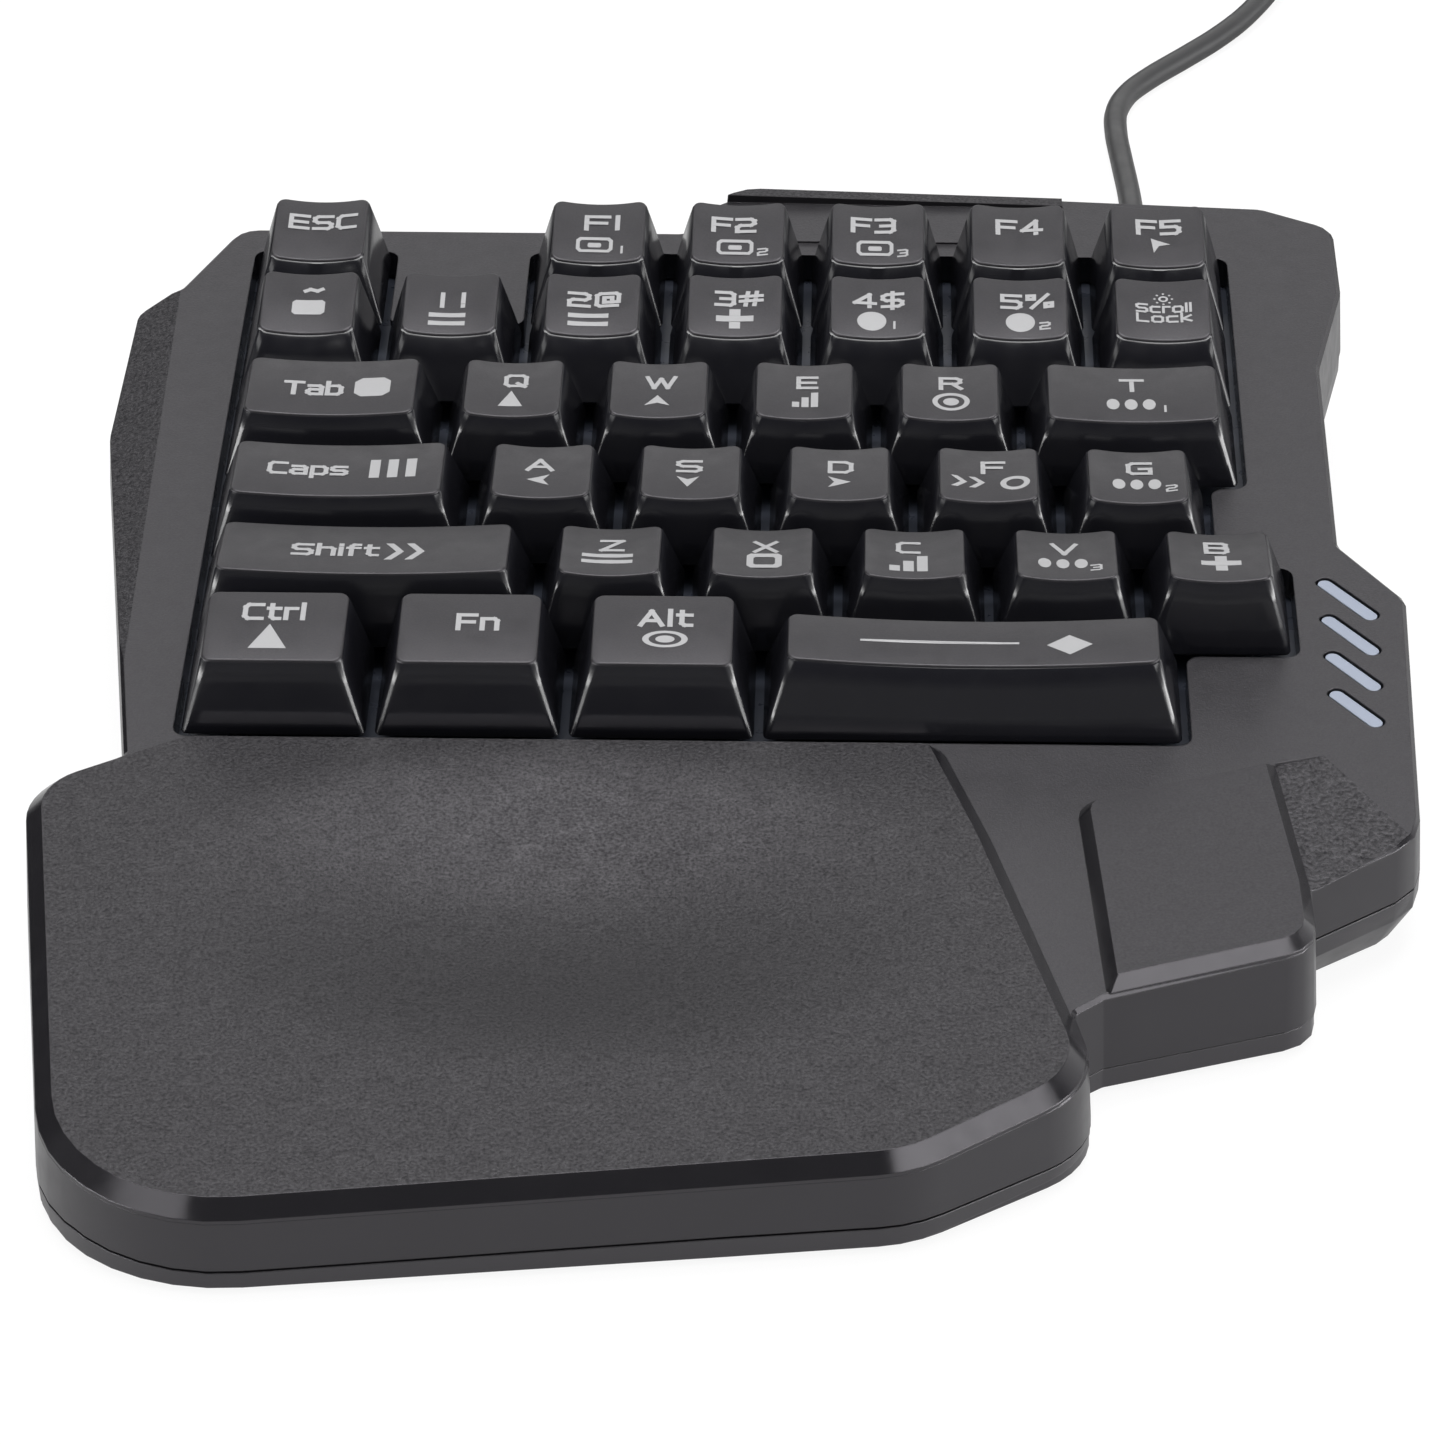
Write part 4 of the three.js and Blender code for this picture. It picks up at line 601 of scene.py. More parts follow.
def cap_mesh(key):
    """A cap, open below, with its stem and any guide posts."""
    bm = bmesh.new()
    rings = [[bm.verts.new(point) for point in level] for level in cap_rings(key)]
    count = len(rings[0])
    for number, (low, high) in enumerate(zip(rings, rings[1:])):
        for i in range(count):
            j = (i + 1) % count
            face = bm.faces.new((low[i], low[j], high[j], high[i]))
            face.material_index = int(number >= len(WALL_STEPS))
    crown = rings[-1]
    for i in range(count // 2 - 1):
        far = count - 1 - i
        face = bm.faces.new((crown[i], crown[i + 1], crown[far - 1], crown[far]))
        face.material_index = 1
    left, right = key.left + SKIRT_INSET, key.right - SKIRT_INSET
    front, rear = key.front + SKIRT_INSET, key.rear - SKIRT_INSET
    roof = min(key.rear_top[1], key.front_top[1]) * KEY_HEIGHT - key.dish - KEY_ROOF
    mouth = ring(
        left + KEY_WALL, right - KEY_WALL, front + KEY_WALL, rear - KEY_WALL, SKIRT_RADIUS,
    )
    ceiling = ring(
        key.top_left + KEY_WALL, key.top_right - KEY_WALL,
        key.top_front + KEY_WALL, key.top_rear - KEY_WALL, SKIRT_RADIUS,
    )
    inner = [bm.verts.new((x, y, -SKIRT_DROP)) for x, y in mouth]
    over = [bm.verts.new((x, y, roof)) for x, y in ceiling]
    for i in range(count):
        j = (i + 1) % count
        bm.faces.new((inner[i], inner[j], rings[0][j], rings[0][i]))
        bm.faces.new((over[i], over[j], inner[j], inner[i]))
    for i in range(count // 2 - 1):
        far = count - 1 - i
        bm.faces.new((over[far], over[far - 1], over[i + 1], over[i]))
    middle, centre = (key.left + key.right) / 2, (key.front + key.rear) / 2
    posts = [(middle, STEM_WIDTH)]
    if key.long:
        ends = (key.left + GUIDE_POST_SETBACK, key.right - GUIDE_POST_SETBACK)
        posts += [(x, GUIDE_POST_WIDTH) for x in ends]
    for x, width in posts:
        half = width / 2
        top = roof + STEM_HOLD
        add_box(bm, (x - half, centre - half, STEM_FOOT), (x + half, centre + half, top))
    mesh = mesh_from(f"cap_{key.name}", bm)
    mesh.polygons.foreach_set("use_smooth", [True] * len(mesh.polygons))
    mesh.set_sharp_from_angle(angle=CAP_SMOOTHING)
    return mesh


# Legends: plain generic key names and simple marks, printed on the tops

LEGEND_LIFT = 0.02
LEGEND_THICK = 0.02
STROKE_SHARE = 0.19
# Strokes that cross lie a hair apart, so that none shares a face with another
STROKE_STEP = 0.08
LETTER_GAP = 2.1
CAP_HEIGHT = 6
MARK_STEP = 1

# Letters as strokes on a grid six units high
S_STROKE = [(5, 6), (1, 6), (0, 5.2), (0, 3.8), (1, 3), (4, 3), (5, 2.2), (5, 0.8), (4, 0), (0, 0)]
LETTERS = {
    "A": [[(0, 0), (2.7, 6), (5.4, 0)], [(1, 1.9), (4.4, 1.9)]],
    "B": [
        [(0, 0), (0, 6), (4, 6), (4.9, 5.3), (4.9, 3.8), (4.1, 3.1), (0, 3.1)],
        [(4.1, 3.1), (5.1, 2.4), (5.1, 0.8), (4.2, 0), (0, 0)],
    ],
    "C": [[(5, 6), (1, 6), (0, 5), (0, 1), (1, 0), (5, 0)]],
    "D": [[(0, 0), (0, 6), (3.8, 6), (5.2, 4.8), (5.2, 1.2), (3.8, 0), (0, 0)]],
    "E": [[(5, 6), (0, 6), (0, 0), (5, 0)], [(0, 3), (4.6, 3)]],
    "F": [[(5, 6), (0, 6), (0, 0)], [(0, 3), (4.4, 3)]],
    "G": [[(5.2, 6), (1, 6), (0, 5), (0, 1), (1, 0), (5.2, 0), (5.2, 2.8), (2.8, 2.8)]],
    "L": [[(0, 6), (0, 0), (4.6, 0)]],
    "Q": [
        [(1, 0), (0, 1), (0, 5), (1, 6), (4.4, 6), (5.4, 5), (5.4, 1), (4.4, 0), (1, 0)],
        [(3.2, 1.6), (5.2, -0.5)],
    ],
    "R": [
        [(0, 0), (0, 6), (4, 6), (5, 5.2), (5, 3.6), (4, 2.8), (0, 2.8)],
        [(3, 2.8), (5.2, 0)],
    ],
    "S": [S_STROKE],
    "T": [[(0, 6), (5.4, 6)], [(2.7, 6), (2.7, 0)]],
    "V": [[(0, 6), (2.7, 0), (5.4, 6)]],
    "W": [[(0, 6), (1.7, 0), (3.4, 5.2), (5.1, 0), (6.8, 6)]],
    "X": [[(0, 6), (5.2, 0)], [(0, 0), (5.2, 6)]],
    "Z": [[(0, 6), (5.2, 6), (0, 0), (5.2, 0)]],
    "a": [
        [(0.4, 4.4), (3.6, 4.4), (4.4, 3.7), (4.4, 0), (1, 0), (0, 0.7), (0, 1.6), (0.8, 2.4),
         (4.4, 2.4)],
    ],
    "b": [[(0, 6.4), (0, 0), (3.4, 0), (4.4, 0.9), (4.4, 3.5), (3.4, 4.4), (0, 4.4)]],
    "c": [[(4.2, 4.4), (0.9, 4.4), (0, 3.6), (0, 0.8), (0.9, 0), (4.2, 0)]],
    "f": [[(3, 6.4), (1.6, 6.4), (0.9, 5.6), (0.9, 0)], [(0, 4.4), (3, 4.4)]],
    "h": [[(0, 6.4), (0, 0)], [(0, 4.4), (3.4, 4.4), (4.3, 3.6), (4.3, 0)]],
    "i": [[(0, 4.4), (0, 0)], [(0, 6.4), (0, 6)]],
    "k": [[(0, 6.4), (0, 0)], [(3.8, 4.4), (0.4, 2.2), (4, 0)]],
    "l": [[(0, 6.4), (0, 0)]],
    "n": [[(0, 0), (0, 4.4), (3.4, 4.4), (4.3, 3.6), (4.3, 0)]],
    "o": [
        [(0.9, 0), (0, 0.9), (0, 3.5), (0.9, 4.4), (3.5, 4.4), (4.4, 3.5), (4.4, 0.9), (3.5, 0),
         (0.9, 0)],
    ],
    "p": [[(0, -1.8), (0, 4.4), (3.4, 4.4), (4.4, 3.5), (4.4, 0.9), (3.4, 0), (0, 0)]],
    "r": [[(0, 0), (0, 4.4), (3, 4.4)]],
    "s": [
        [(4.2, 4.4), (0.8, 4.4), (0, 3.8), (0, 2.8), (0.8, 2.2), (3.5, 2.2), (4.3, 1.6),
         (4.3, 0.6), (3.5, 0), (0, 0)],
    ],
    "t": [[(0.9, 6), (0.9, 0.8), (1.7, 0), (3.2, 0)], [(0, 4.4), (3.2, 4.4)]],
    "1": [[(0, 6), (0, 0)]],
    "2": [[(0, 6), (4, 6), (5, 5.2), (5, 3.8), (4, 3), (1, 3), (0, 2.2), (0, 0), (5, 0)]],
    "3": [[(0, 6), (4, 6), (5, 5.2), (5, 0.8), (4, 0), (0, 0)], [(1.4, 3), (5, 3)]],
    "4": [[(3.8, 0), (3.8, 6), (0, 1.6), (5.2, 1.6)]],
    "5": [[(5, 6), (0, 6), (0, 3.3), (4, 3.3), (5, 2.5), (5, 0.8), (4, 0), (0, 0)]],
    "!": [[(0, 6), (0, 2)], [(0, 0.4), (0, 0)]],
    "@": [
        [(3.9, 1.7), (3.9, 4.2), (1.9, 4.2), (1.9, 1.8), (5.6, 1.8), (5.6, 5.2), (4.8, 6),
         (0.9, 6), (0, 5.2), (0, 0.8), (0.9, 0), (5.2, 0)],
    ],
    "#": [[(1.4, 0), (2, 6)], [(4, 0), (4.6, 6)], [(0, 4.1), (6, 4.1)], [(0, 1.9), (6, 1.9)]],
    "$": [S_STROKE, [(2.5, 7), (2.5, -1)]],
    "%": [
        [(0, 6), (1.8, 6), (1.8, 4.2), (0, 4.2), (0, 6)],
        [(5, 1.8), (6.8, 1.8), (6.8, 0), (5, 0), (5, 1.8)],
        [(5.6, 6), (1.2, 0)],
    ],
    "~": [[(0, 5.3), (1, 6), (2.6, 5.3), (3.6, 6)]],
    " ": [],
}


def word_outlines(word, width, height):
    """Outlines of the strokes of a word, centred, in its width and the height of its capitals."""
    stroke = height * STROKE_SHARE
    lines, start = [], 0
    for letter in word:
        for line in LETTERS[letter]:
            lines.append([(x + start, y) for x, y in line])
        start += max((x for line in LETTERS[letter] for x, _ in line), default=0) + LETTER_GAP
    natural = start - LETTER_GAP
    scale_x = (width - stroke) / max(natural, 1)
    scale_y = (height - stroke) / CAP_HEIGHT
    outlines = []
    for line in lines:
        places = [
            Vector(((x - natural / 2) * scale_x, (y - CAP_HEIGHT / 2) * scale_y)) for x, y in line
        ]
        for a, b in zip(places, places[1:]):
            way = (b - a).normalized() * stroke / 2
            side = Vector((-way.y, way.x))
            outlines.append([a - way - side, b + way - side, b + way + side, a - way + side])
    return outlines


def dense(corners):
    """The outline with more corners, so that a wide mark follows its dished key."""
    made = []
    for (ax, ay), (bx, by) in zip(corners, corners[1:] + corners[:1]):
        steps = max(1, math.ceil(math.hypot(bx - ax, by - ay) / MARK_STEP))
        for i in range(steps):
            share = i / steps
            made.append((ax + (bx - ax) * share, ay + (by - ay) * share))
    return made


def mark_outlines(name, width, height):
    """Outlines and holes of a mark, centred, in its width and height."""
    shapes = MARKS[name]
    places = [point for corners, _ in shapes for point in corners]
    left, right = min(x for x, _ in places), max(x for x, _ in places)
    low, high = min(y for _, y in places), max(y for _, y in places)
    scale_x, scale_y = width / (right - left), height / (high - low)
    middle_x, middle_y = (left + right) / 2, (low + high) / 2

    def fitted(corners):
        return [((x - middle_x) * scale_x, (y - middle_y) * scale_y) for x, y in corners]

    return [
        (fitted(corners), fitted(hole)) if hole else (dense(fitted(corners)), None)
        for corners, hole in shapes
    ]


def add_plate(bm, corners, hole=None, level=0):
    """A flat plate of this outline, one unit thick, or a frame round a hole."""

    def corners_at(places, height):
        return [bm.verts.new((x, y, height)) for x, y in places]

    low, high = corners_at(corners, level - 0.5), corners_at(corners, level + 0.5)
    count = len(corners)
    for i in range(count):
        j = (i + 1) % count
        bm.faces.new((low[i], low[j], high[j], high[i]))
    if hole is None:
        bm.faces.new(high)
        bm.faces.new(low[::-1])
        return
    inner_low, inner_high = corners_at(hole, level - 0.5), corners_at(hole, level + 0.5)
    for i in range(count):
        j = (i + 1) % count
        bm.faces.new((inner_high[i], inner_high[j], inner_low[j], inner_low[i]))
        bm.faces.new((high[i], high[j], inner_high[j], inner_high[i]))
        bm.faces.new((inner_low[i], inner_low[j], low[j], low[i]))


def circle(radius_x, radius_y, x=0, y=0, sides=28):
    turns = [i * math.tau / sides for i in range(sides)]
    return [(x + radius_x * math.cos(a), y + radius_y * math.sin(a)) for a in turns]


def bar(width, height, x=0, y=0):
    w, h = width / 2, height / 2
    return [(x - w, y - h), (x + w, y - h), (x + w, y + h), (x - w, y + h)]


def arrow_head(angle):
    points = [(0, 1.05), (-1.15, -1), (0, -0.45), (1.15, -1)]
    c, s = math.cos(angle), math.sin(angle)
    return [(x * c - y * s, x * s + y * c) for x, y in points]


def rounded_bar(width, height, cut):
    """A bar with its corners cut off."""
    w, h = width / 2, height / 2
    return [
        (cut - w, -h), (w - cut, -h), (w, cut - h), (w, h - cut),
        (w - cut, h), (cut - w, h), (-w, h - cut), (-w, cut - h),
    ]


# Each mark is a list of outlines, with the hole of each or None
MARKS = {
    "up": [(arrow_head(0), None)],
    "left": [(arrow_head(math.pi / 2), None)],
    "down": [(arrow_head(math.pi), None)],
    "right": [(arrow_head(-math.pi / 2), None)],
    "corner": [(arrow_head(math.pi / 5), None)],
    "ring": [(circle(1, 1), circle(0.6, 0.6))],
    "target": [(circle(1, 1), circle(0.72, 0.72)), (circle(0.42, 0.42), None)],
    "disc": [(circle(1, 1), None)],
    "diamond": [([(-1, 0), (0, -1), (1, 0), (0, 1)], None)],
    "block": [(rounded_bar(2, 2, 0.4), None)],
    "frame": [(rounded_bar(3.4, 2.8, 0.4), rounded_bar(2.1, 1.5, 0.2))],
    "two_bars": [(bar(4, 0.9, 0, 0.85), None), (bar(4, 0.9, 0, -0.85), None)],
    "three_bars": [(bar(0.9, 3, x), None) for x in (-1.6, 0, 1.6)],
    "steps": [
        (bar(1.3, 1 + i * 0.9, (i - 1) * 1.7, (i * 0.9 - 1.8) / 2), None) for i in range(3)
    ],
    "plus": [
        (bar(3.2, 0.95), None), (bar(0.95, 1.1, 0, 1.05), None), (bar(0.95, 1.1, 0, -1.05), None),
    ],
    "dots": [(circle(0.75, 1.2, x), None) for x in (-2.1, 0, 2.1)],
    "badge": [
        (rounded_bar(6, 3, 0.6), rounded_bar(4.8, 1.9, 0.3)), (rounded_bar(2.2, 0.9, 0.2), None),
    ],
    "bubble": [(rounded_bar(4, 2.6, 0.4), None)],
    "line": [(bar(10, 1), None)],
    "triangle": [([(-1.9, -1.2), (1.9, -1.2), (0, 1.7)], None)],
    "chevrons": [
        ([(x - 1.1, -1.5), (x - 0.2, -1.5), (x + 1.1, 0), (x - 0.2, 1.5), (x - 1.1, 1.5),
          (x + 0.2, 0)], None)
        for x in (-1.2, 1.2)
    ],
    "lamp": [(circle(0.9, 0.9), circle(0.5, 0.5))] + [
        (circle(0.25, 0.25, 1.6 * math.cos(turn), 1.6 * math.sin(turn), 6), None)
        for turn in (i * math.tau / 8 for i in range(8))
    ],
}

# Words and marks of each key: name, width, height, share from the left and share from the rear
LEGENDS = {
    "esc": [("ESC", 9.4, 3.4, 0.52, 0.37)],
    "f1": [("F1", 4.9, 3.5, 0.53, 0.34), ("badge", 5, 3.4, 0.46, 0.71), ("1", 1, 1.7, 0.76, 0.8)],
    "f2": [
        ("F2", 6.2, 3.5, 0.45, 0.36), ("badge", 5, 3.4, 0.47, 0.73), ("2", 1.5, 1.7, 0.77, 0.82),
    ],
    "f3": [
        ("F3", 6.2, 3.5, 0.45, 0.35), ("badge", 5, 3.4, 0.47, 0.73), ("3", 1.5, 1.7, 0.77, 0.82),
    ],
    "f4": [("F4", 6.5, 3.5, 0.52, 0.36)],
    "f5": [("F5", 6.2, 3.5, 0.515, 0.34), ("corner", 2.6, 3.2, 0.53, 0.64)],
    "tilde": [("~", 2.8, 3.4, 0.54, 0.38), ("bubble", 4.4, 3, 0.5, 0.57)],
    "1": [("1 !", 3.4, 3.2, 0.52, 0.43), ("two_bars", 4.9, 2.6, 0.47, 0.75)],
    "2": [("2@", 7.2, 3.2, 0.51, 0.41), ("two_bars", 5.4, 2.6, 0.457, 0.74)],
    "3": [("3#", 6.6, 3.2, 0.54, 0.37), ("plus", 5, 4, 0.5, 0.7)],
    "4": [("4$", 6.9, 3.1, 0.51, 0.38), ("disc", 3.9, 3.9, 0.44, 0.72), ("1", 1, 1.6, 0.68, 0.79)],
    "5": [
        ("5%", 7.2, 3.1, 0.576, 0.38), ("disc", 3.9, 3.9, 0.5, 0.72), ("2", 1.5, 1.6, 0.76, 0.79),
    ],
    "scroll_lock": [
        ("lamp", 2.7, 2.4, 0.51, 0.31), ("Scroll", 7.5, 1.9, 0.51, 0.47),
        ("Lock", 7.5, 1.9, 0.51, 0.63),
    ],
    "tab": [("Tab", 7.9, 3.5, 0.39, 0.52), ("block", 4.7, 4.6, 0.74, 0.5)],
    "q": [("Q", 3.2, 3.2, 0.52, 0.35), ("triangle", 3.2, 3.9, 0.48, 0.67)],
    "w": [("W", 4.2, 3.2, 0.52, 0.36), ("up", 3.3, 2.6, 0.49, 0.68)],
    "e": [("E", 2.9, 3.2, 0.53, 0.34), ("steps", 3.4, 3.6, 0.51, 0.65)],
    "r": [("R", 3.2, 3.2, 0.51, 0.33), ("target", 4.9, 4.4, 0.51, 0.66)],
    "t": [("T", 3.3, 3.2, 0.5, 0.335), ("dots", 6.4, 2.6, 0.49, 0.68), ("1", 1, 1.7, 0.69, 0.76)],
    "caps_lock": [("Caps", 10.4, 3.2, 0.353, 0.49), ("three_bars", 6, 4.6, 0.76, 0.48)],
    "a": [("A", 3.7, 3.2, 0.47, 0.37), ("left", 2.9, 2.7, 0.46, 0.65)],
    "s": [("S", 3.4, 3.2, 0.48, 0.37), ("down", 2.9, 2.6, 0.47, 0.66)],
    "d": [("D", 3.3, 3.2, 0.51, 0.36), ("right", 2.9, 2.7, 0.5, 0.64)],
    "f": [
        ("F", 3.2, 3.2, 0.55, 0.345), ("chevrons", 4.4, 2.7, 0.29, 0.63),
        ("ring", 3.8, 3.4, 0.77, 0.65),
    ],
    "g": [
        ("G", 3.4, 3.2, 0.525, 0.335), ("dots", 6.2, 2.5, 0.49, 0.64),
        ("2", 1.5, 1.7, 0.84, 0.74),
    ],
    "shift": [("Shift", 11.1, 3.4, 0.4, 0.52), ("chevrons", 5, 4.6, 0.64, 0.54)],
    "z": [("Z", 3.2, 3.3, 0.51, 0.375), ("two_bars", 6.4, 2.6, 0.47, 0.65)],
    "x": [("X", 3.2, 3.3, 0.53, 0.37), ("frame", 4.4, 4, 0.52, 0.66)],
    "c": [("C", 3.1, 3.3, 0.44, 0.36), ("steps", 4.8, 4.3, 0.44, 0.69)],
    "v": [
        ("V", 3.5, 3.3, 0.48, 0.36), ("dots", 6.2, 2.6, 0.46, 0.66), ("3", 1.5, 1.7, 0.79, 0.76),
    ],
    "b": [("B", 3.2, 3.3, 0.485, 0.31), ("plus", 5, 4.1, 0.52, 0.62)],
    "ctrl": [("Ctrl", 7.8, 3.4, 0.48, 0.3), ("triangle", 4.7, 4.8, 0.46, 0.65)],
    "fn": [("Fn", 5.4, 3.4, 0.56, 0.42)],
    "alt": [("Alt", 6.8, 3.4, 0.52, 0.34), ("target", 5.6, 3.3, 0.52, 0.64)],
    "space": [("line", 19.5, 0.4, 0.41, 0.5), ("diamond", 5.6, 4.2, 0.76, 0.55)],
}


def legend_mesh(key):
    """The words and marks of a key, laid on its dished top."""
    bm = bmesh.new()
    for sign, width, height, across, along in LEGENDS[key.name]:
        x, y = key.place(across, along)
        start = len(bm.verts)
        if sign in MARKS:
            for corners, hole in mark_outlines(sign, width, height):
                add_plate(bm, corners, hole)
        else:
            for number, corners in enumerate(word_outlines(sign, width, height)):
                add_plate(bm, corners, level=number * STROKE_STEP)
        bm.verts.ensure_lookup_table()
        for vert in bm.verts[start:]:
            above = LEGEND_LIFT + LEGEND_THICK * vert.co.z
            vert.co.x += x
            vert.co.y += y
            vert.co.z = key.height(vert.co.x, vert.co.y) + above
    return mesh_from(f"legend_{key.name}", bm)


def make_key(key):
    name, body = key.name, f"key_{key.name}"
    finishes = [cap_wall_finish, cap_top_finish]
    piece_of(f"cap_{name}", cap_mesh(key), finishes, body, "keycap", f"keycap_{name}")
    piece_of(f"legend_{name}", legend_mesh(key), [legend_finish], body, "keycap")


def make_keys():
    for row, names in enumerate(ROWS):
        left = 0
        for name in names.split():
            width = WIDTHS.get(name, 1)
            if name != GAP:
                make_key(Key(name, row, left, width))
            left += width


make_keys()


# Case and the rest: copies of the solids with rounded edges

MERGE_DISTANCE = 2e-6
FLAT_ANGLE = math.radians(0.6)
# Least angle of an edge that is rounded, of one that stays sharp, and of one between wide faces
ROUNDED_ANGLE = math.radians(24)
SHARP_ANGLE = math.radians(30)
CREASE_ANGLE = math.radians(1.5)
WIDE_FACE = 0.008
# Edges that run on from one another, by the cosine between them
IN_LINE = 0.7
# The most of a neighbouring edge that a rounded edge takes
ROOM_SHARE = 0.4
EDGE_SEGMENTS = 2
WIDE_FACES_FIRST = 100


def plan_extent(face):
    """The longer side of a face's box in plan."""
    places = [v.co for v in face.verts]
    return max(
        max(p.x for p in places) - min(p.x for p in places),
        max(p.y for p in places) - min(p.y for p in places),
    )


def mark_creases(bm):
    """Keeps sharp edges sharp, and so too the shallow folds between wide flat faces."""
    bm.normal_update()
    wide = {face for face in bm.faces if plan_extent(face) > WIDE_FACE}
    for face in bm.faces:
        face.smooth = True
    for edge in bm.edges:
        if len(edge.link_faces) != 2:
            continue
        angle = edge.calc_face_angle()
        both = all(face in wide for face in edge.link_faces)
        edge.smooth = angle < SHARP_ANGLE and not (both and angle > CREASE_ANGLE)


def weigh_edges(bm, width):
    """Marks the edges to round, less where a neighbouring edge leaves little room."""
    layer = bm.edges.layers.float.new("bevel_weight_edge")
    pairs = (edge for edge in bm.edges if len(edge.link_faces) == 2)
    sharp = {edge for edge in pairs if edge.calc_face_angle() > ROUNDED_ANGLE}
    for edge in sharp:
        along = (edge.verts[1].co - edge.verts[0].co).normalized()
        room = math.inf
        for vert in edge.verts:
            for other in vert.link_edges:
                if other is edge:
                    continue
                way = (other.other_vert(vert).co - vert.co).normalized()
                if other in sharp and abs(way.dot(along)) > IN_LINE:
                    continue
                room = min(room, other.calc_length())
        edge[layer] = min(1, ROOM_SHARE * room / width)


def copied(node):
    """A copy of a solid's mesh, with its flat faces whole."""
    bm = bmesh.new()
    bm.from_mesh(nodes[node].data)
    bmesh.ops.remove_doubles(bm, verts=bm.verts, dist=MERGE_DISTANCE)
    bmesh.ops.dissolve_limit(
        bm, angle_limit=FLAT_ANGLE, verts=bm.verts, edges=bm.edges, delimit=set()
    )
    return bm


def rounded_piece(node, bm, materials, slot, width=0):
    """The shape in the place of its node, with its sharp edges rounded to this width."""
    if width:
        weigh_edges(bm, width * MM)
    mark_creases(bm)
    mesh = bpy.data.meshes.new(node)
    bm.to_mesh(mesh)
    bm.free()
    piece = piece_of(f"{node}_surface", mesh, materials, "case", slot, node)
    if not width:
        evened = piece.modifiers.new("normals", "WEIGHTED_NORMAL")
        evened.keep_sharp = True
        evened.weight = WIDE_FACES_FIRST
        return
    edges = piece.modifiers.new("edges", "BEVEL")
    edges.limit_method = "WEIGHT"
    edges.width = width * MM
    edges.segments = EDGE_SEGMENTS
    edges.use_clamp_overlap = False
    edges.harden_normals = True


def dish_reach(x, y):
    """How far out a place lies from the middle of the dish, whose rim counts as one."""
    across = (x - DISH_CENTRE[0]) / DISH_REACH[0]
    along = (y - DISH_CENTRE[1]) / DISH_REACH[1]
    return math.hypot(across, along)


def palm_height(x, y):
    """Height of the palm rest over the deck."""
    out = min(1, dish_reach(x, y))
    return PALM_RISE + min(0, DISH_RIM_LIFT - DISH_DEPTH * (1 + math.cos(math.pi * out)) / 2)


PALM_GRID = 2.0
PALM_EXACTNESS = 1e-6
# Tells the triangulation to keep only what lies inside the outline
INSIDE_ONLY = 1
# Least upward share of the normal of a level face, and of a sloping one
LEVEL_FACE = 0.9
SLOPING_FACE = 0.35


def smooth_palm(bm):
    """Gives the top of the palm rest an even fine grid, so that its dish is smooth."""
    bm.faces.ensure_lookup_table()
    bm.normal_update()
    centre = Vector((*DISH_CENTRE, palm_height(*DISH_CENTRE)))
    start = min(bm.faces, key=lambda face: (face.calc_center_median() - centre).length)
    found, waiting = {start}, [start]
    while waiting:
        face = waiting.pop()
        for edge in face.edges:
            for other in edge.link_faces:
                if other not in found and other.normal.z > LEVEL_FACE:
                    found.add(other)
                    waiting.append(other)
    rim = [e for e in bm.edges if len([f for f in e.link_faces if f in found]) == 1]
    corners = list(dict.fromkeys(v for e in rim for v in e.verts))
    number = {vert: i for i, vert in enumerate(corners)}
    points = [Vector((v.co.x, v.co.y)) for v in corners]
    lines = [(number[e.verts[0]], number[e.verts[1]]) for e in rim]
    left, right = min(p.x for p in points), max(p.x for p in points)
    front, rear = min(p.y for p in points), max(p.y for p in points)
    for i in range(int((right - left) / PALM_GRID)):
        for j in range(int((rear - front) / PALM_GRID)):
            points.append(Vector((left + (i + 0.5) * PALM_GRID, front + (j + 0.5) * PALM_GRID)))
    places, _, faces, origins, _, _ = delaunay_2d_cdt(
        points, lines, [], INSIDE_ONLY, PALM_EXACTNESS
    )
    bmesh.ops.delete(bm, geom=list(found), context="FACES_ONLY")
    made = []
    for place, sources in zip(places, origins):
        known = [i for i in sources if i < len(corners)]
        if known:
            made.append(corners[known[0]])
        else:
            made.append(bm.verts.new((place.x, place.y, palm_height(place.x, place.y))))
    for face in faces:
        bm.faces.new([made[i] for i in face])
    for parts, context in ((bm.verts, "VERTS"), (bm.edges, "EDGES")):
        loose = [part for part in parts if not part.link_faces]
        bmesh.ops.delete(bm, geom=loose, context=context)


TOP_FINISHES = [
    deck_finish, palm_finish, facet_finish, edge_finish, wall_finish, well_finish, thumb_finish,
]
WELL_LEFT, WELL_RIGHT = -2, GRID_WIDTH + 1
WELL_FRONT, WELL_REAR = -GRID_DEPTH - 1, 1
THUMB_LEFT = GRID_WIDTH * 0.82
FACET_LEFT = GRID_WIDTH * 0.97
RAISED = 0.02
SUNKEN = -0.05


def in_well(place):
    return WELL_LEFT < place.x < WELL_RIGHT and WELL_FRONT < place.y < WELL_REAR


def top_finish(face):
    """Which finish a face of the top case takes, from where it lies on the deck."""
    centre = face.calc_center_median()
    up = face.normal.z
    if up < SLOPING_FACE:
        return well_finish if in_well(centre) else wall_finish
    if up < LEVEL_FACE:
        return edge_finish
    if centre.z > RAISED or dish_reach(centre.x, centre.y) < 1:
        return thumb_finish if centre.x > THUMB_LEFT and centre.z > 0 else palm_finish
    if centre.z < SUNKEN and not 0 <= centre.x <= FACET_LEFT:
        return facet_finish
    return deck_finish


def make_top_case():
    bm = copied("top_case")
    bm.transform(TO_DECK)
    smooth_palm(bm)
    bmesh.ops.recalc_face_normals(bm, faces=bm.faces)
    for face in bm.faces:
        face.material_index = TOP_FINISHES.index(top_finish(face))
    bm.transform(DECK)
    rounded_piece("top_case", bm, TOP_FINISHES, "shell")


make_top_case()

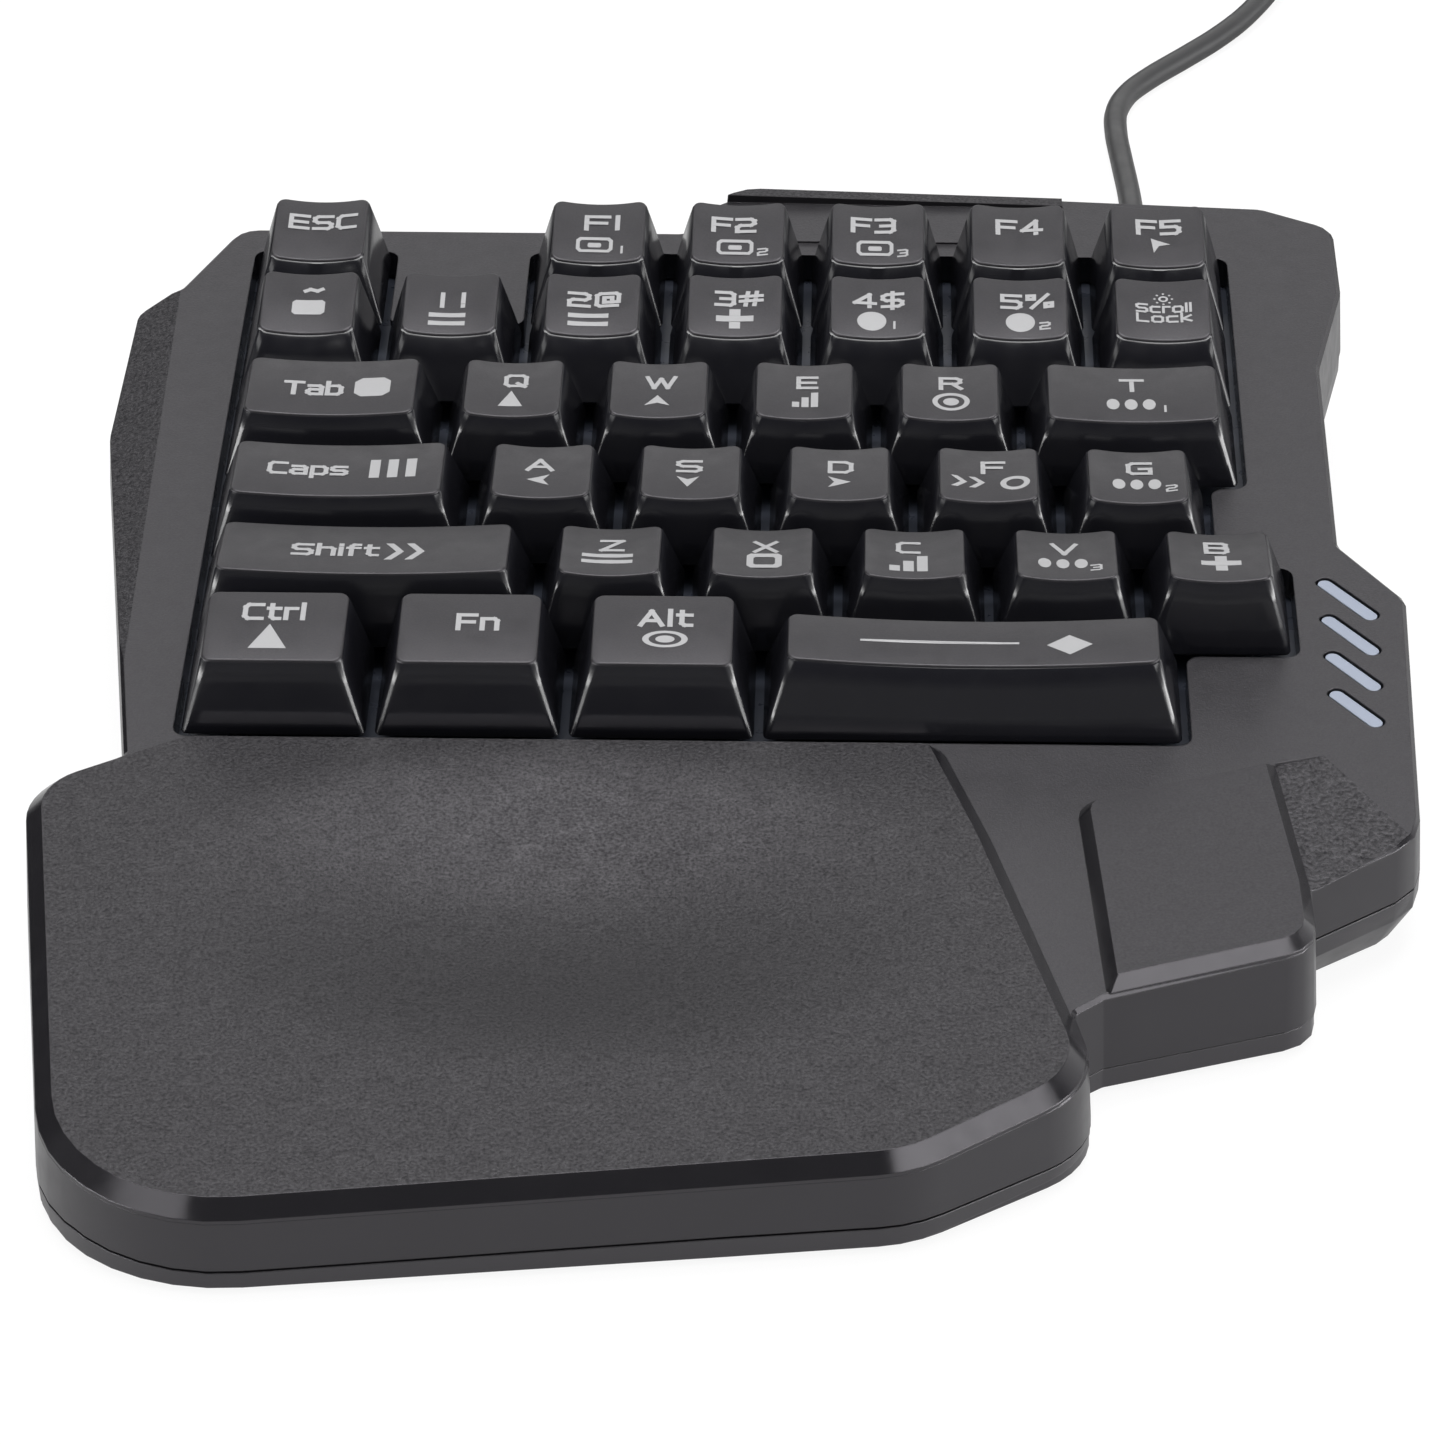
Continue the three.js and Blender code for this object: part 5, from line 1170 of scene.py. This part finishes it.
FEET = [f"foot_{end}_{side}" for end in ("front", "rear") for side in ("left", "right")]

# Material, slot and width of the rounded edges of each copied solid
COPIES = {
    "bottom_case": (base_finish, "base", 0),
    "key_plate": (plate_finish, "plate", 0),
    "light_guide": (lens_finish, "lens", 0.12),
    **{foot: (rubber_finish, "rubber", 0.5) for foot in FEET},
}
for node, (material, slot, width) in COPIES.items():
    rounded_piece(node, copied(node), [material], slot, width)

# Solids that stay as they are, and their materials
KEPT = {
    "rubber_dome_sheet": dome_finish,
    "membrane_circuit": film_finish,
    "backing_plate": steel_finish,
    "controller_board": board_finish,
    "light_board": board_finish,
    "screw_rear_right": steel_finish,
    "screw_left": steel_finish,
    "screw_palm": steel_finish,
    "screw_thumb": steel_finish,
    "cord_strain_relief": rubber_finish,
    "cord_tie": rubber_finish,
    "usb_plug_body": rubber_finish,
    "usb_plug_shell": nickel_finish,
    "usb_plug_tongue": plate_finish,
}
for node, material in KEPT.items():
    nodes[node].data.materials.clear()
    nodes[node].data.materials.append(material)


# Studio

FLOOR_SIZE = 6
FLOOR_DROP = 0.00002
FLOOR_COLOUR = (0.9, 0.9, 0.9, 1)
FLOOR_GLOW = 0.9
# The mirrored sheet: its level up to one distance from the middle, and beyond another
SHEET_LEVEL, SHEET_NEAR = 0.7, 0.17
SHEET_END_LEVEL, SHEET_FAR = 0.04, 0.32


def make_floor():
    """White for the camera; mirrored in the keypad as a white sheet that ends near it."""
    bm = bmesh.new()
    bmesh.ops.create_grid(bm, x_segments=1, y_segments=1, size=FLOOR_SIZE)
    mesh = mesh_from("floor", bm, Matrix.Translation((0, 0, -FLOOR_DROP)))
    floor = bpy.data.objects.new("floor", mesh)
    scene.collection.objects.link(floor)
    made = bpy.data.materials.new("pale_floor")
    made.use_nodes = True
    tree = made.node_tree
    shader = tree.nodes["Principled BSDF"]
    socket(shader, "Base Color", FLOOR_COLOUR)
    socket(shader, "Roughness", 0.9)
    socket(shader, "Specular IOR Level", 0.1)
    rays = tree.nodes.new("ShaderNodeLightPath").outputs
    place = tree.nodes.new("ShaderNodeTexCoord").outputs["Object"]
    distance = length_of(tree, place)
    sheet = ranged(tree, distance, SHEET_LEVEL, SHEET_END_LEVEL, SHEET_NEAR, SHEET_FAR)
    glow = tree.nodes.new("ShaderNodeEmission")
    feed(tree, chosen(tree, rays["Is Camera Ray"], sheet, 1), glow.inputs["Strength"])
    seen = calculated(tree, "MAXIMUM", rays["Is Camera Ray"], rays["Is Glossy Ray"])
    mix = tree.nodes.new("ShaderNodeMixShader")
    feed(tree, calculated(tree, "MULTIPLY", seen, FLOOR_GLOW), mix.inputs["Fac"])
    tree.links.new(shader.outputs[0], mix.inputs[1])
    tree.links.new(glow.outputs[0], mix.inputs[2])
    tree.links.new(mix.outputs[0], tree.nodes["Material Output"].inputs["Surface"])
    mesh.materials.append(made)


WORLD_LIGHT = 0.42

# What the keypad mirrors: levels by height in the sky, as a sine, behind it and in front of it
REAR_LEVELS = [
    (0, 0.02), (0.25, 0.04), (0.36, 2.3), (0.5, 1.5), (0.64, 0.25), (0.87, 0.6), (1, 0.3),
]
FRONT_LEVELS = [(0, 0.36), (0.4, 0.03), (1, 0.03)]
# Where the front levels give way to the rear ones, by how far a way points to the back
FRONT_END, REAR_START = -0.2, 0.4
# How the rear levels sink to a share of themselves towards the sides
SIDE_START, SIDE_END, SIDE_SHARE = 0.4, 0.8, 0.1
# The low glow at the right: its level, where it starts and is whole, and its height
RIGHT_LEVEL = 2.4
RIGHT_START, RIGHT_WHOLE, RIGHT_HEIGHT = 0.4, 0.9, 0.5


def levels(tree, value, stops):
    """A level that runs straight between stops."""
    ramp = tree.nodes.new("ShaderNodeValToRGB")
    points = ramp.color_ramp.elements
    while len(points) < len(stops):
        points.new(0.5)
    for point, (place, level) in zip(points, stops):
        point.position = place
        point.color = (level, level, level, 1)
    tree.links.new(value, ramp.inputs["Fac"])
    return ramp.outputs["Color"]


def make_world():
    """White for the camera; for reflections a sky with its own levels behind and in front."""
    world = bpy.data.worlds.new("studio")
    world.use_nodes = True
    tree = world.node_tree
    background = tree.nodes["Background"]
    background.inputs["Color"].default_value = (1, 1, 1, 1)
    rays = tree.nodes.new("ShaderNodeLightPath").outputs
    parts = tree.nodes.new("ShaderNodeSeparateXYZ")
    feed(tree, tree.nodes.new("ShaderNodeTexCoord").outputs["Generated"], parts.inputs["Vector"])
    x, y, z = parts.outputs
    middle = ranged(tree, calculated(tree, "ABSOLUTE", x), 1, SIDE_SHARE, SIDE_START, SIDE_END)
    rear = calculated(tree, "MULTIPLY", middle, levels(tree, z, REAR_LEVELS))
    behind = ranged(tree, y, 0, 1, FRONT_END, REAR_START)
    sky = chosen(tree, behind, levels(tree, z, FRONT_LEVELS), rear)
    low = ranged(tree, z, RIGHT_LEVEL, 0, 0, RIGHT_HEIGHT)
    right = ranged(tree, x, 0, 1, RIGHT_START, RIGHT_WHOLE)
    sky = calculated(tree, "ADD", sky, calculated(tree, "MULTIPLY", low, right))
    level = chosen(tree, rays["Is Glossy Ray"], WORLD_LIGHT, sky)
    for white_ray in ("Is Camera Ray", "Is Transmission Ray"):
        level = chosen(tree, rays[white_ray], level, 1)
    feed(tree, level, background.inputs["Strength"])
    scene.world = world


def make_light(name, place, aim, size, power):
    data = bpy.data.lights.new(name, "AREA")
    data.shape = "RECTANGLE"
    data.size, data.size_y = size
    data.energy = power
    light = bpy.data.objects.new(name, data)
    scene.collection.objects.link(light)
    light.location = place
    light.rotation_mode = "QUATERNION"
    light.rotation_quaternion = (Vector(aim) - Vector(place)).to_track_quat("-Z", "Y")


# Place, aim and size of each light in metres, and its power in watts. The low ones at the sides
# draw the bright edges of the caps.
LIGHTS = {
    "above": ((0, -0.2, 1.45), (0, 0, 0), (0.9, 0.7), 8),
    "above_rear": ((0, 0.3, 1.45), (0, 0, 0), (1.2, 0.6), 20),
    "front_left": ((-1.01, -0.63, 1.07), (0, 0, 0), (1.4, 0.45), 5),
    "front_right": ((1.15, -0.66, 1.2), (0, 0, 0), (1.5, 0.45), 9),
    "right": ((1.4, -0.05, 0.32), (0, 0, 0.02), (0.6, 0.36), 4),
    "left_low": ((-1.3, -0.5, 0.12), (0, 0, 0), (1.2, 0.24), 12),
    "right_low": ((1.3, -0.5, 0.12), (0, 0, 0), (1.2, 0.24), 11),
}

make_floor()
make_world()
for name, settings in LIGHTS.items():
    make_light(name, *settings)
scene.view_settings.view_transform = "Standard"
